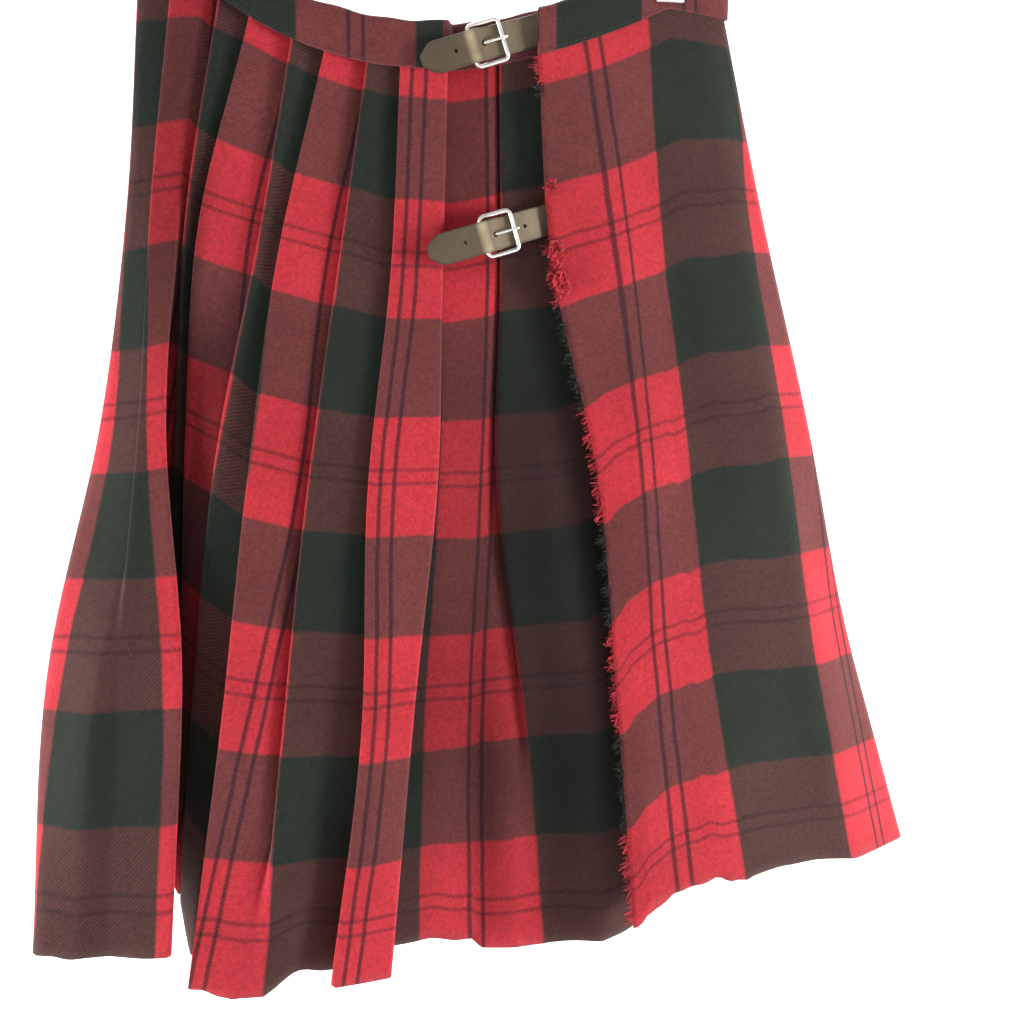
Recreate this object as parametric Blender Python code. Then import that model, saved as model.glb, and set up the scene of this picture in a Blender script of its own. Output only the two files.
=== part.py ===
"""Kilted wrap skirt hanging from a clip hanger.  Sizes in mm here, metres in the meshes."""
import math
import bpy
import bmesh
from mathutils import Vector

MM = 0.001
WALL = 1.2              # cloth thickness
SEAM_CUT = 0.5          # each cloth stops short of the side seam by this
GAP = 0.3               # between pieces at a seam
LENGTH = 573.0          # cloth below the waistband
STRAP_V = (80.0, 116.0)  # no fringe where the lower strap comes out
TURN_UP = 8.0           # cloth caught inside the waistband
BAND_H = 29.0           # waistband height
SAG_FRONT, SAG_BACK = 45.0, 50.0
CLIP_X, CLIP_Z = 148.0, -152.0      # waist seam height at the clips
BAR_Z = -96.0           # hanger bar below the hook's inner top
SAG_SKEW = 0.22         # the sag is deeper left of the middle
CALM_V = 150.0          # below this the layers in a tuck share its crease's height
STRAND_HALF = 0.5       # half the thickness of the fringe's strip
EDGE_STRIP = 2.2        # width of the strip the strands stand on
LEVELS = (0.0, 130.0, 270.0, 420.0, 573.0)
PITCH = (2.6, 2.6, 2.8, 3.1, 3.5)   # layer to layer in a tuck, at the levels
ROWS = (-TURN_UP, 0.0, 50.0, 100.0, 150.0, 205.0, 265.0, 325.0, 385.0, 445.0, 510.0, LENGTH)

# Columns: kind, name, x at the five levels, y at the five levels, then
#   pt   : corner rounding
#   tuck : depth, gap behind the crease, lay angle, each at the five levels
#   over : the same, for the crease that laps the other way
FRONT = [
 ('pt', 'seamL', (-176, -184, -204, -238, -258), (13, 15, 8, -8, -28), 3),
 ('pt', 'sideL', (-190, -201, -221, -255, -265), (0, -2, -14, -40, -80), 9),
 ('tuck', 'c12', (-166, -182, -193, -209, -222), (-7, -14, -37, -68, -87),
  (18, 15, 7, 3, -8), (5.4, 5.4, 5.8, 5.8, 2.8), (5, 7, 8, 6, 0)),
 ('pt', 'flap', (-150, -165, -177, -171, -182), (-6, -13, -40, -76, -100), 3),
 ('pt', 'flapback', (-144, -163, -181, -188, -202), (-5, -11, -28, -44, -40), 3),
 ('tuck', 'c23', (-138, -161, -172, -180, -194), (-9, -17, -34, -38, -14),
  (15, 6, 8, 15, 15), (5.4, 5.4, 6.2, 8, 8), (9, 9, 12, 18, 20)),
 ('tuck', 'c34', (-120, -154, -167, -175, -188), (-11, -19, -39, -46, -14),
  (22.5, 29, 29, 27, 25.5), (5.4, 5.4, 6.2, 8, 8), (9, 9, 14, 18, 20)),
 ('tuck', 'c45', (-95, -119, -148, -166, -180), (-12, -22, -44, -54, -18),
  (18, 10, 17, 28, 25.7), (5.4, 5.4, 6.2, 8, 8), (10, 10, 14, 20, 22)),
 ('tuck', 'c56', (-75, -107, -129, -149, -173), (-14, -26, -54, -80, -99),
  (23, 28, 24, 26.4, 32.6), (5.4, 5.4, 8, 17, 44), (10, 10, 18, 30, 42)),
 ('tuck', 'c67', (-49, -70, -93, -113, -132), (-15, -27, -53, -80, -100),
  (19, 14, 15, 6, -8), (5.4, 5.4, 6, 6.2, 1.8), (10, 8, 10, 8, 0)),
 ('tuck', 'c78', (-28, -37, -56, -65, -88), (-17, -29, -54, -80, -101),
  (25, 25, 24, 20.5, 22.8), (5.4, 5.4, 6.5, 12, 20), (-1, -1, 9, 30, 42)),
 ('over', 'box', (1, -5, -13, -33, -51), (-18, -30, -52, -76, -96),
  (27, 27, 27, 29, 17.5), (13.2, 13.4, 16, 32, 46), (3, 6, 15, 35, 55)),
 ('pt', 'pairB', (32, 31, 24, 15, 14), (-8, -15, -24, -32, -38), 4),
 ('tuck', 'c9', (37, 36, 31, 46, 58), (-9, -16, -26, -34, -41),
  (13, 13, 12, -1, -8), (5.4, 5.4, 5.6, 4.8, 2.8), (5, 5, 6, 4, 0)),
 ('pt', 'ridge', (56, 69, 84, 98, 102), (-8, -13, -24, -38, -47), 6),
 ('pt', 'underE', (80, 92, 112, 128, 136), (-7, -11, -17, -26, -34), 6),
 ('pt', 'underEnd', (140, 150, 165, 176, 186), (-3, -5, -12, -22, -30), 3),
]
APRON = [
 ('pt', 'edge', (60, 68, 97, 108, 117), (-17.5, -23, -34, -48, -61), 3),
 ('pt', 'pairA', (96, 117, 130, 139, 154), (-15, -22, -34, -48, -60), 6),
 ('pt', 'greenL', (135, 143, 159, 174, 199), (-10, -17, -29, -42, -54), 6),
 ('pt', 'greenR', (172, 200, 226, 250, 286), (-7, -13, -24, -34, -40), 9),
 ('pt', 'sideR', (195, 226, 262, 296, 346), (0, 1, -2, -4, -6), 9),
 ('pt', 'seamR', (178, 206, 241, 275, 318), (11, 16, 22, 30, 38), 3),
]
# Where the cloth hangs higher than its length: seam x, then by how much below mid length and at the hem.
HANG_MID, HANG_LOW = 380.0, 470.0
FRONT_HANG = [(-196, 8, 0), (-166, 10, -5), (-146, 10, -4), (-134, 18, 24), (-96, 18, 24), (-76, 14, 11),
              (-50, 12, 8), (-38, 12, 19), (-29, 11, 13), (-24, 10, 9), (0, 8, 7), (14, 8, 7), (26, 7, 1),
              (36, 7, -10), (56, 6, -13), (80, 5, -12), (110, 3, -5), (150, 0, 0)]
APRON_HANG = [(50, 0, 0), (62, 0, 0), (75, 8, 10), (96, 10, 12), (115, 6, 8), (128, 0, -1), (140, 0, -5),
              (172, 0, -7), (200, 0, -4)]
BACK_HANG = [(-196, 8, 0), (-150, 4, -2), (-110, 0, 0), (110, 0, 0), (150, 0, -3), (200, 0, -4)]
BACK_TUCKS = 14
BACK_MID = (24.0, 29.0, 36.0, 46.0, 54.0)       # y of the back between the sides
BACK_BOW = (1.7, 1.1, 0.7, 0.6, 0.6)            # how late it bows away from the side folds
BACK_WAVE = (0.0, 1.5, 4.0, 7.0, 11.0)          # flute height
BACK_GAP = (5.6, 5.6, 6.5, 9.0, 12.0)
BACK_DEPTH = (20.0, 19.0, 17.0, 15.0, 13.0)
BACK_LAY = (1.5, 2.0, 3.0, 4.0, 5.0)             # degrees added to each tuck's slope

BAND_FACE = WALL / 2 + GAP + WALL        # cloth middle to the band's face
FRONT_STATIONS = (-184.0, -172.0, -160.0, -146.0, -132.0, -118.0, -104.0, -90.0, -76.0, -60.0, -44.0, -30.0,
                  -16.0, -4.0, 1.7, 6.5, 16.0, 32.0, 48.0, 60.0, 78.0, 95.0, 112.0, 138.6, 139.6)
BACK_STATIONS = (173.0, 166.0, 156.0, 146.0, 136.0, 122.0, 108.0, 92.0, 76.0, 60.0, 44.0, 28.0, 12.0, -4.0, -20.0,
                 -36.0, -52.0, -68.0, -84.0, -100.0, -116.0, -132.0, -146.0, -156.0, -165.0, -171.0)


def clear_scene():
    for ob in list(bpy.data.objects):
        bpy.data.objects.remove(ob, do_unlink=True)


def collection(name):
    col = bpy.data.collections.get(name)
    if col is None:
        col = bpy.data.collections.new(name)
        bpy.context.scene.collection.children.link(col)
    return col


def material(name, colour, rough, metal=0.0):
    mat = bpy.data.materials.get(name)
    if mat is None:
        mat = bpy.data.materials.new(name)
        mat.use_nodes = True
        bsdf = mat.node_tree.nodes["Principled BSDF"]
        bsdf.inputs["Base Color"].default_value = (colour[0], colour[1], colour[2], 1.0)
        bsdf.inputs["Roughness"].default_value = rough
        bsdf.inputs["Metallic"].default_value = metal
    return mat


def add_body(name, verts, faces, mat, smooth=False):
    """One closed body from points in mm, faces turned outward."""
    mesh = bpy.data.meshes.new(name)
    mesh.from_pydata([(p[0] * MM, p[1] * MM, p[2] * MM) for p in verts], [], faces)
    bm = bmesh.new()
    bm.from_mesh(mesh)
    bmesh.ops.recalc_face_normals(bm, faces=bm.faces)
    if bm.calc_volume(signed=True) < 0:
        bmesh.ops.reverse_faces(bm, faces=bm.faces)
    bm.to_mesh(mesh)
    bm.free()
    for poly in mesh.polygons:
        poly.use_smooth = smooth
    mesh.materials.append(mat)
    ob = bpy.data.objects.new(name, mesh)
    collection("kilt").objects.link(ob)
    return ob


def at_level(row, v):
    """Smooth value of a five-column row at cloth depth v."""
    if v <= LEVELS[0]:
        return float(row[0])
    i = max(k for k in range(4) if v >= LEVELS[k])
    h = LEVELS[i + 1] - LEVELS[i]
    t = (v - LEVELS[i]) / h
    p, q = row[i], row[i + 1]
    mp = (q - p) / h if i == 0 else (q - row[i - 1]) / (LEVELS[i + 1] - LEVELS[i - 1])
    mq = (q - p) / h if i == 3 else (row[i + 2] - p) / (LEVELS[i + 2] - LEVELS[i])
    t2, t3 = t * t, t * t * t
    return (2 * t3 - 3 * t2 + 1) * p + (t3 - 2 * t2 + t) * h * mp + (3 * t2 - 2 * t3) * q + (t3 - t2) * h * mq


def ease(x):
    x = min(1.0, max(0.0, x))
    return x * x * (3.0 - 2.0 * x)


def cloth_corners(table, v, facing=1.0):
    """Corners of the cloth's plan line at depth v: (x, y, rounding).  facing -1 is the back."""
    pitch = at_level(PITCH, v)
    out = []
    for row in table:
        x, y = at_level(row[2], v), at_level(row[3], v)
        if row[0] == 'pt':
            out.append((x, y, row[4]))
            continue
        d, gap, ang = at_level(row[4], v), at_level(row[5], v), math.radians(at_level(row[6], v))
        c, s = math.cos(ang), math.sin(ang)
        side = facing if row[0] == 'tuck' else -facing
        opened = ease((3.0 - d) / 9.0)
        e, q = 2.5 * opened, pitch * (1.0 - 0.6 * opened)
        if row[0] == 'tuck':
            arrive = -e * 1.5 if d > 0 else d - 3 * e
            steps = [(arrive, gap), (d * c - e, q * 2.0 + d * s), (d * c + e * 0.4, q * 1.35 + d * s),
                     (-e * 0.4, q * 0.65), (e, 0.0)]
        else:
            base = min(gap - 2 * pitch, 3 * pitch)
            steps = [(0.0, 0.0), (0.0, base), (d * c, base + d * s), (d * c, base + pitch + d * s), (0.0, gap)]
        for dx, dy in steps:
            out.append((x + side * dx, y + facing * dy, 1.0))
    return out


def round_corners(pts, least=5.0):
    """Wide corners get three points, the rest stay as they are."""
    out = []
    for i, (x, y, r) in enumerate(pts):
        if r < least or i in (0, len(pts) - 1):
            out.append((x, y))
            continue
        a, b = Vector((pts[i - 1][0] - x, pts[i - 1][1] - y)), Vector((pts[i + 1][0] - x, pts[i + 1][1] - y))
        t = min(r, a.length * 0.42, b.length * 0.42)
        p, q, c = a.normalized() * t, b.normalized() * t, Vector((x, y))
        mid = (c + p) * 0.25 + c * 0.5 + (c + q) * 0.25
        out += [tuple(c + p), tuple(mid), tuple(c + q)]
    return out


def offset_line(pts, dist):
    """Mitred offset of an open plan line; positive is to its left."""
    out = []
    n = len(pts)
    for i in range(n):
        a = Vector(pts[i]) - Vector(pts[i - 1]) if i else None
        b = Vector(pts[i + 1]) - Vector(pts[i]) if i < n - 1 else None
        a = (a if a is not None else b).normalized()
        b = (b if b is not None else a).normalized()
        na, nb = Vector((-a.y, a.x)), Vector((-b.y, b.x))
        m = na + nb
        k = dist / max(0.35, 1.0 + na.dot(nb))
        out.append((pts[i][0] + m.x * k, pts[i][1] + m.y * k))
    return out


def trim(pts, start, end):
    """Shorten an open plan line at its ends."""
    pts = list(pts)
    for which, cut in ((0, start), (-1, end)):
        if cut:
            a, b = Vector(pts[which]), Vector(pts[1 if which == 0 else -2])
            pts[which] = tuple(a + (b - a).normalized() * cut)
    return pts


def seam_height(x, sag):
    """Height of the waist seam: clipped at two places, sagging between."""
    if abs(x) >= CLIP_X:
        return CLIP_Z - 0.08 * (abs(x) - CLIP_X)
    t = x / CLIP_X
    return CLIP_Z - sag * (1.0 - t * t) * (1.0 - SAG_SKEW * t)


def lift(hang, x, v):
    """How much higher than the cloth's length it hangs at depth v, below seam position x."""
    for (x0, mid0, hem0), (x1, mid1, hem1) in zip(hang, hang[1:]):
        if x < x1 or x1 == hang[-1][0]:
            f = ease((x - x0) / (x1 - x0))
            mid, hem = mid0 + (mid1 - mid0) * f, hem0 + (hem1 - hem0) * f
            return mid * ease(v / HANG_MID) + (hem - mid) * ease((v - HANG_LOW) / (LENGTH - HANG_LOW))
    return 0.0


def past_tucks(seam, facing):
    """Seam places with the layers under each crease counted at the crease itself."""
    out = list(seam)
    for i in range(len(out) - 2, -1, -1):
        out[i] = min(out[i], out[i + 1]) if facing > 0 else max(out[i], out[i + 1])
    return out


def cloth_panel(name, table, mat, hang, facing=1.0, sag=SAG_FRONT, cut=(0.0, 0.0)):
    """Cloth wall lofted down the rows from a table of folds."""
    rings = []
    seam = None
    for v in ROWS:
        line = trim(round_corners(cloth_corners(table, v, facing)), cut[0], cut[1])
        if seam is None:
            seam = [p[0] for p in line]
            crease = past_tucks(seam, facing)
        calm = ease(v / CALM_V)
        places = [x + (c - x) * calm for x, c in zip(seam, crease)]
        heights = [seam_height(x, sag) - v + lift(hang, x, v) for x in places]
        left, right = offset_line(line, WALL / 2), offset_line(line, -WALL / 2)
        n = len(line)
        ring = [(left[i][0], left[i][1], heights[i]) for i in range(n)]
        ring += [(right[i][0], right[i][1], heights[i]) for i in reversed(range(n))]
        rings.append(ring)
    m = len(rings[0])
    verts = [p for ring in rings for p in ring]
    faces = []
    for r in range(len(rings) - 1):
        for i in range(m):
            j = (i + 1) % m
            faces.append((r * m + i, r * m + j, (r + 1) * m + j, (r + 1) * m + i))
    last = (len(rings) - 1) * m
    half = m // 2
    for base in (0, last):
        for i in range(half - 1):
            a, b, c, d = base + i, base + i + 1, base + m - 2 - i, base + m - 1 - i
            faces.append((a, b, c, d))
    return add_body(name, verts, faces, mat)


def channel(name, stations, mat, sag):
    """Folded band over the cloth's top edge: stations of (outer x, y, inner x, y)."""
    verts, faces = [], []
    for ox, oy, ix, iy in stations:
        d = Vector((ix - ox, iy - oy)).normalized() * WALL
        z0 = seam_height(0.5 * (ox + ix), sag)
        z1 = z0 + BAND_H
        verts += [(ox, oy, z0), (ox, oy, z1), (ix, iy, z1), (ix, iy, z0),
                  (ix - d.x, iy - d.y, z0), (ix - d.x, iy - d.y, z1 - WALL),
                  (ox + d.x, oy + d.y, z1 - WALL), (ox + d.x, oy + d.y, z0)]
    for s in range(len(stations) - 1):
        for i in range(8):
            j = (i + 1) % 8
            faces.append((s * 8 + i, s * 8 + j, (s + 1) * 8 + j, (s + 1) * 8 + i))
    for base in (0, (len(stations) - 1) * 8):
        faces += [(base, base + 1, base + 6, base + 7), (base + 1, base + 2, base + 5, base + 6),
                  (base + 2, base + 3, base + 4, base + 5)]
    return add_body(name, verts, faces, mat)


def tube(name, path, radius, mat, sides=8, closed=False):
    """Round bar along a path in mm."""
    pts = [Vector(p) for p in path]
    n = len(pts)
    verts, faces = [], []
    up = Vector((0.13, 0.97, 0.21)).normalized()
    for i, p in enumerate(pts):
        a = pts[i - 1] if (i or closed) else p
        b = pts[(i + 1) % n] if (i < n - 1 or closed) else p
        t = (b - a).normalized()
        u = (up - t * up.dot(t)).normalized()
        w = t.cross(u)
        for k in range(sides):
            ang = 2 * math.pi * k / sides
            verts.append(tuple(p + (u * math.cos(ang) + w * math.sin(ang)) * radius))
    for i in range(n if closed else n - 1):
        for k in range(sides):
            a, b = i * sides + k, i * sides + (k + 1) % sides
            c, d = ((i + 1) % n) * sides + (k + 1) % sides, ((i + 1) % n) * sides + k
            faces.append((a, b, c, d))
    if not closed:
        faces.append(tuple(range(sides)))
        faces.append(tuple(range((n - 1) * sides, n * sides)))
    return add_body(name, verts, faces, mat, smooth=True)


def envelope(line, first, second):
    """Least and greatest y of a plan line between two x."""
    left, right = min(first, second), max(first, second)
    ys = []
    for (x0, y0), (x1, y1) in zip(line, line[1:]):
        lo, hi = (x0, x1) if x0 < x1 else (x1, x0)
        a, b = max(lo, left), min(hi, right)
        if a > b:
            continue
        for xx in (a, b):
            f = (xx - x0) / (x1 - x0) if abs(x1 - x0) > 1e-6 else 0.0
            ys.append(y0 + (y1 - y0) * f)
    return min(ys), max(ys)


def back_table():
    """Knife pleats of the back, laid from the right side seam to the left one."""
    rx, ry = APRON[-1][2], APRON[-1][3]
    lx, ly = FRONT[0][2], FRONT[0][3]

    def crease(k, l):
        f = min(1.0, (k + 0.55) / (BACK_TUCKS + 0.15))
        bow = max(0.0, math.sin(math.pi * f)) ** BACK_BOW[l]
        ends = ry[l] + (ly[l] - ry[l]) * f
        y = ends + (BACK_MID[l] - ends) * bow + 2.5 + BACK_WAVE[l] * (1.0 if k % 2 == 0 else -0.5)
        return rx[l] + (lx[l] - rx[l]) * f, y

    rows = [('pt', 'seamR', tuple(v - GAP for v in rx), ry, 3)]
    for k in range(BACK_TUCKS):
        here = [crease(k, l) for l in range(5)]
        last = k == BACK_TUCKS - 1
        after = [(lx[l], ly[l]) if last else crease(k + 1, l) for l in range(5)]
        width = [here[l][0] - after[l][0] for l in range(5)]
        fall = [here[l][1] - after[l][1] + (0.0 if last else BACK_GAP[l]) for l in range(5)]
        angle = [math.degrees(math.atan2(fall[l], width[l])) + BACK_LAY[l] for l in range(5)]
        depth = [min(BACK_DEPTH[l], 0.85 * width[l]) for l in range(5)]
        rows.append(('tuck', 'b%d' % k, [p[0] for p in here], [p[1] for p in here], depth, BACK_GAP, angle))
    rows.append(('pt', 'seamL', tuple(v + GAP for v in lx), ly, 3))
    return rows


class Fastening:
    """Frame on the cloth: s along the strap (tip negative), w across it, n outward."""

    def __init__(self, centre, slope, yaw):
        a, b = math.radians(slope), math.radians(yaw)
        self.c = Vector(centre)
        self.s = Vector((math.cos(a) * math.cos(b), math.cos(a) * math.sin(b), math.sin(a)))
        out = Vector((0.0, -1.0, 0.0))
        self.n = (out - self.s * out.dot(self.s)).normalized()
        self.w = self.n.cross(self.s).normalized()
        if self.w.z < 0:
            self.w = -self.w

    def at(self, s, w, n):
        return tuple(self.c + self.s * s + self.w * w + self.n * n)


def ribbon(name, fr, path, half_w, thick, mat, tip=0.0):
    """Leather strip along (s, n) points; its first end runs to a clipped tip."""
    n = len(path)
    verts, faces = [], []
    line = offset_line(path, thick / 2), offset_line(path, -thick / 2)
    for i in range(n):
        w = half_w - (tip if i == 0 else 0.0)
        for k, (side, ww) in enumerate(((0, w), (0, -w), (1, -w), (1, w))):
            s, nn = line[side][i]
            verts.append(fr.at(s, ww, nn))
    for i in range(n - 1):
        for k in range(4):
            a, b = i * 4 + k, i * 4 + (k + 1) % 4
            faces.append((a, b, b + 4, a + 4))
    faces += [(0, 1, 2, 3), tuple((n - 1) * 4 + k for k in range(4))]
    return add_body(name, verts, faces, mat)


def punch(ob, fr, s, n, radius):
    """Hole through a strap along n."""
    mesh = bpy.data.meshes.new(ob.name + "_hole")
    verts, faces = [], []
    for depth in (-6.0, 6.0):
        for k in range(8):
            ang = 2 * math.pi * (k + 0.5) / 8
            verts.append([c * MM for c in fr.at(s + radius * math.cos(ang), radius * math.sin(ang), n + depth)])
    for k in range(8):
        faces.append((k, (k + 1) % 8, 8 + (k + 1) % 8, 8 + k))
    faces += [tuple(range(8)), tuple(range(8, 16))]
    mesh.from_pydata(verts, [], faces)
    bm = bmesh.new()
    bm.from_mesh(mesh)
    bmesh.ops.recalc_face_normals(bm, faces=bm.faces)
    bm.to_mesh(mesh)
    bm.free()
    cutter = bpy.data.objects.new(ob.name + "_hole_%d" % round(s), mesh)
    collection("cutters").objects.link(cutter)
    cutter.hide_render = True
    cutter.display_type = 'WIRE'
    mod = ob.modifiers.new("hole_%d" % round(s), 'BOOLEAN')
    mod.operation = 'DIFFERENCE'
    mod.solver = 'EXACT'
    mod.object = cutter


def fastening(tag, centre, slope, yaw, tip, root, tab_end, holes, mats):
    """Strap, buckle frame, prong and the tab that holds the buckle."""
    leather, metal = mats
    fr = Fastening(centre, slope, yaw)
    body = [(-tip, 3.2), (-tip + 5, 3.2), (-22, 3.3), (-15, 5.0), (-10.5, 5.9), (-6.5, 5.1), (0, 2.6), (6, 1.5),
            (12, 1.0)]
    strap = ribbon("strap_" + tag, fr, body + root, 10.0, 2.2, leather, tip=4.5)
    for s, n in holes:
        punch(strap, fr, s, n, 1.8 if -5 < s < 0 else 1.4)
    bar = 1.2
    w, l, r = 13.9 - bar, 11.5 - bar, 3.0
    ring = []
    for cs, cw, a0 in ((l - r, w - r, 0), (-l + r, w - r, 90), (-l + r, -w + r, 180), (l - r, -w + r, 270)):
        for k in range(4):
            ang = math.radians(a0 + 30 * k)
            s, ww = cs + r * math.cos(ang), cw + r * math.sin(ang)
            ring.append(fr.at(s, ww, 2.95 + 1.05 * s / l))
    tube("buckle_" + tag, ring, bar, metal, sides=6, closed=True)
    prong = [fr.at(s, 0.0, n) for s, n in ((-7.2, 1.9), (-5.6, 1.5), (-4.0, 1.6), (-3.2, 2.6), (-2.8, 4.8),
                                           (-1.4, 6.0), (12.3, 6.4))]
    tube("prong_" + tag, prong, 0.75, metal, sides=6)
    hinge_s, hinge_n, rr = -l, 1.9, bar + GAP + 0.5
    loop = [tab_end, (-15.0, 0.5)]
    loop += [(hinge_s + rr * math.cos(math.radians(a)), hinge_n + rr * math.sin(math.radians(a)))
             for a in (-100, -60, -20, 20, 60, 95)]
    ribbon("tab_" + tag, fr, loop, 8.0, 1.0, leather)


def fringe(name, table, mat, count=84):
    """Ravelled edge: a narrow strip beside the cloth's cut edge with strands standing from it."""
    rows = []
    step = (LENGTH - 4.0) / count
    for k in range(count):
        v = 2.0 + k * step
        rows += [v, v + 1.5]
    rows.append(LENGTH - 2.0)
    verts, faces = [], []
    z0 = seam_height(table[0][2][0], SAG_FRONT)

    def edge_at(v):
        line = cloth_corners(table, v)
        return Vector(line[0][:2]), Vector(line[1][:2])

    def frame_at(v):
        k = max(i for i in range(len(ROWS) - 1) if v >= ROWS[i])
        f = (v - ROWS[k]) / (ROWS[k + 1] - ROWS[k])
        (a0, b0), (a1, b1) = edge_at(ROWS[k]), edge_at(ROWS[k + 1])
        t = ((b0 - a0).normalized().lerp((b1 - a1).normalized(), f)).normalized()
        return a0.lerp(a1, f), t, Vector((-t.y, t.x))

    for v in rows:
        a, t, n = frame_at(v)
        z = z0 - v
        for along, across in ((-GAP, STRAND_HALF), (-GAP, -STRAND_HALF), (-GAP - EDGE_STRIP, -STRAND_HALF),
                              (-GAP - EDGE_STRIP, STRAND_HALF)):
            p = a + t * along + n * across
            verts.append((p.x, p.y, z))
    bare = [i for i in range(0, len(rows) - 1, 2) if STRAP_V[0] < rows[i] < STRAP_V[1]]
    for i in range(len(rows) - 1):
        for k in range(4):
            if k == 2 and i % 2 == 0:
                continue
            a, b = i * 4 + k, i * 4 + (k + 1) % 4
            faces.append((a, b, b + 4, a + 4))
    faces += [(0, 1, 2, 3), tuple((len(rows) - 1) * 4 + k for k in range(4))]
    for i in bare:
        faces.append((i * 4 + 2, i * 4 + 3, i * 4 + 7, i * 4 + 6))
    for i in range(0, len(rows) - 1, 2):
        v = rows[i]
        if i in bare:
            continue
        a, t, n = frame_at(v)
        long = 6.2 + 2.0 * math.sin(v * 0.83) + 1.1 * math.sin(v * 2.9)
        drop = 2.2 + 1.2 * math.sin(v * 1.7)
        root = [i * 4 + 2, i * 4 + 3, i * 4 + 7, i * 4 + 6]
        base = len(verts)
        tip = a - t * (GAP + EDGE_STRIP + long) + n * (0.8 * math.sin(v * 1.1) - 0.6)
        for dn, dz in ((-0.3, 0.3), (0.3, 0.3), (0.3, -0.5), (-0.3, -0.5)):
            p = tip + n * dn
            verts.append((p.x, p.y, z0 - v - drop + dz - 0.4))
        for k in range(4):
            faces.append((root[k], root[(k + 1) % 4], base + (k + 1) % 4, base + k))
        faces.append((base, base + 1, base + 2, base + 3))
    return add_body(name, verts, faces, mat)


def clip(name, x, mat, front_y, back_y):
    """Spring clip seen end on: two jaws, a bridge and a head bored for the bar."""
    z0, zt = -149.0, -119.0
    outline = [(front_y - 2.6, z0), (front_y - 2.6, zt), (front_y + 3.0, -108.0), (-8.0, -104.0), (-8.0, -88.0),
               (8.0, -88.0), (8.0, -104.0), (back_y - 3.0, -108.0), (back_y + 2.6, zt), (back_y + 2.6, z0),
               (back_y, z0), (back_y, zt), (front_y, zt), (front_y, z0)]
    n = len(outline)
    verts = [(x - 9.0, y, z) for y, z in outline] + [(x + 9.0, y, z) for y, z in outline]
    faces = [(i, (i + 1) % n, n + (i + 1) % n, n + i) for i in range(n)]
    for base in (0, n):
        a = [base + k for k in range(n)]
        faces += [(a[0], a[1], a[12], a[13]), (a[1], a[2], a[7], a[8], a[11], a[12]), (a[8], a[9], a[10], a[11]),
                  (a[2], a[3], a[6], a[7]), (a[3], a[4], a[5], a[6])]
    ob = add_body(name, verts, faces, mat)
    bpy.ops.mesh.primitive_cylinder_add(vertices=16, radius=4.4 * MM, depth=30 * MM,
                                        location=(x * MM, 0.0, BAR_Z * MM), rotation=(0, math.pi / 2, 0))
    cutter = bpy.context.active_object
    cutter.name = name + "_bore"
    for col in list(cutter.users_collection):
        col.objects.unlink(cutter)
    collection("cutters").objects.link(cutter)
    cutter.hide_render = True
    cutter.display_type = 'WIRE'
    mod = ob.modifiers.new("bore", 'BOOLEAN')
    mod.operation = 'DIFFERENCE'
    mod.solver = 'EXACT'
    mod.object = cutter
    return ob


clear_scene()
cloth = material("tartan_cloth", (0.36, 0.05, 0.07), 0.85)
leather = material("strap_leather", (0.06, 0.045, 0.035), 0.55)
metal = material("buckle_metal", (0.78, 0.78, 0.76), 0.25, 1.0)
plastic = material("hanger_plastic", (0.85, 0.85, 0.83), 0.4)
steel = material("hook_steel", (0.7, 0.7, 0.72), 0.3, 1.0)

# skirt: three widths of cloth joined inside the side folds
cloth_panel("skirt_front", FRONT, cloth, FRONT_HANG, cut=(SEAM_CUT, 0.0))
cloth_panel("skirt_apron", APRON, cloth, APRON_HANG, cut=(0.0, SEAM_CUT))
cloth_panel("skirt_back", back_table(), cloth, BACK_HANG, facing=-1.0, sag=SAG_BACK, cut=(SEAM_CUT, SEAM_CUT))
fringe("apron_fringe", APRON, cloth)

# waistband: three matching lengths folded over the top edge
front_line = trim(round_corners(cloth_corners(FRONT, 0.0)), SEAM_CUT, 0.0)
back_line = trim(round_corners(cloth_corners(back_table(), 0.0, -1.0)), SEAM_CUT, SEAM_CUT)
apron_line = trim(round_corners(cloth_corners(APRON, 0.0)), 0.0, SEAM_CUT)
outer, inner = offset_line(front_line, -BAND_FACE), offset_line(front_line, BAND_FACE)
stations = [(outer[k][0], outer[k][1], inner[k][0], inner[k][1]) for k in range(4)]
for k, x in enumerate(FRONT_STATIONS[1:-1]):
    lo, hi = envelope(front_line[3:], FRONT_STATIONS[k], FRONT_STATIONS[k + 2])
    stations.append((x, lo - BAND_FACE, x, hi + BAND_FACE))
channel("waistband_front", stations, cloth, SAG_FRONT)
outer, inner = offset_line(apron_line, -BAND_FACE), offset_line(apron_line, BAND_FACE)
channel("waistband_apron", [(o[0], o[1], i[0], i[1]) for o, i in zip(outer, inner)], cloth, SAG_FRONT)
stations = []
for k, x in enumerate(BACK_STATIONS):
    lo, hi = envelope(back_line, BACK_STATIONS[max(0, k - 1)], BACK_STATIONS[min(len(BACK_STATIONS) - 1, k + 1)])
    stations.append((x, hi + BAND_FACE, x, lo - BAND_FACE))
channel("waistband_back", stations, cloth, SAG_BACK)
faces_front = [envelope(near, sx * CLIP_X - 31.0, sx * CLIP_X + 31.0)[0]
               for sx, near in ((-1, front_line[3:]), (1, apron_line))]
faces_back = [envelope(back_line, sx * CLIP_X - 31.0, sx * CLIP_X + 31.0)[1] for sx in (-1, 1)]

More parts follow.
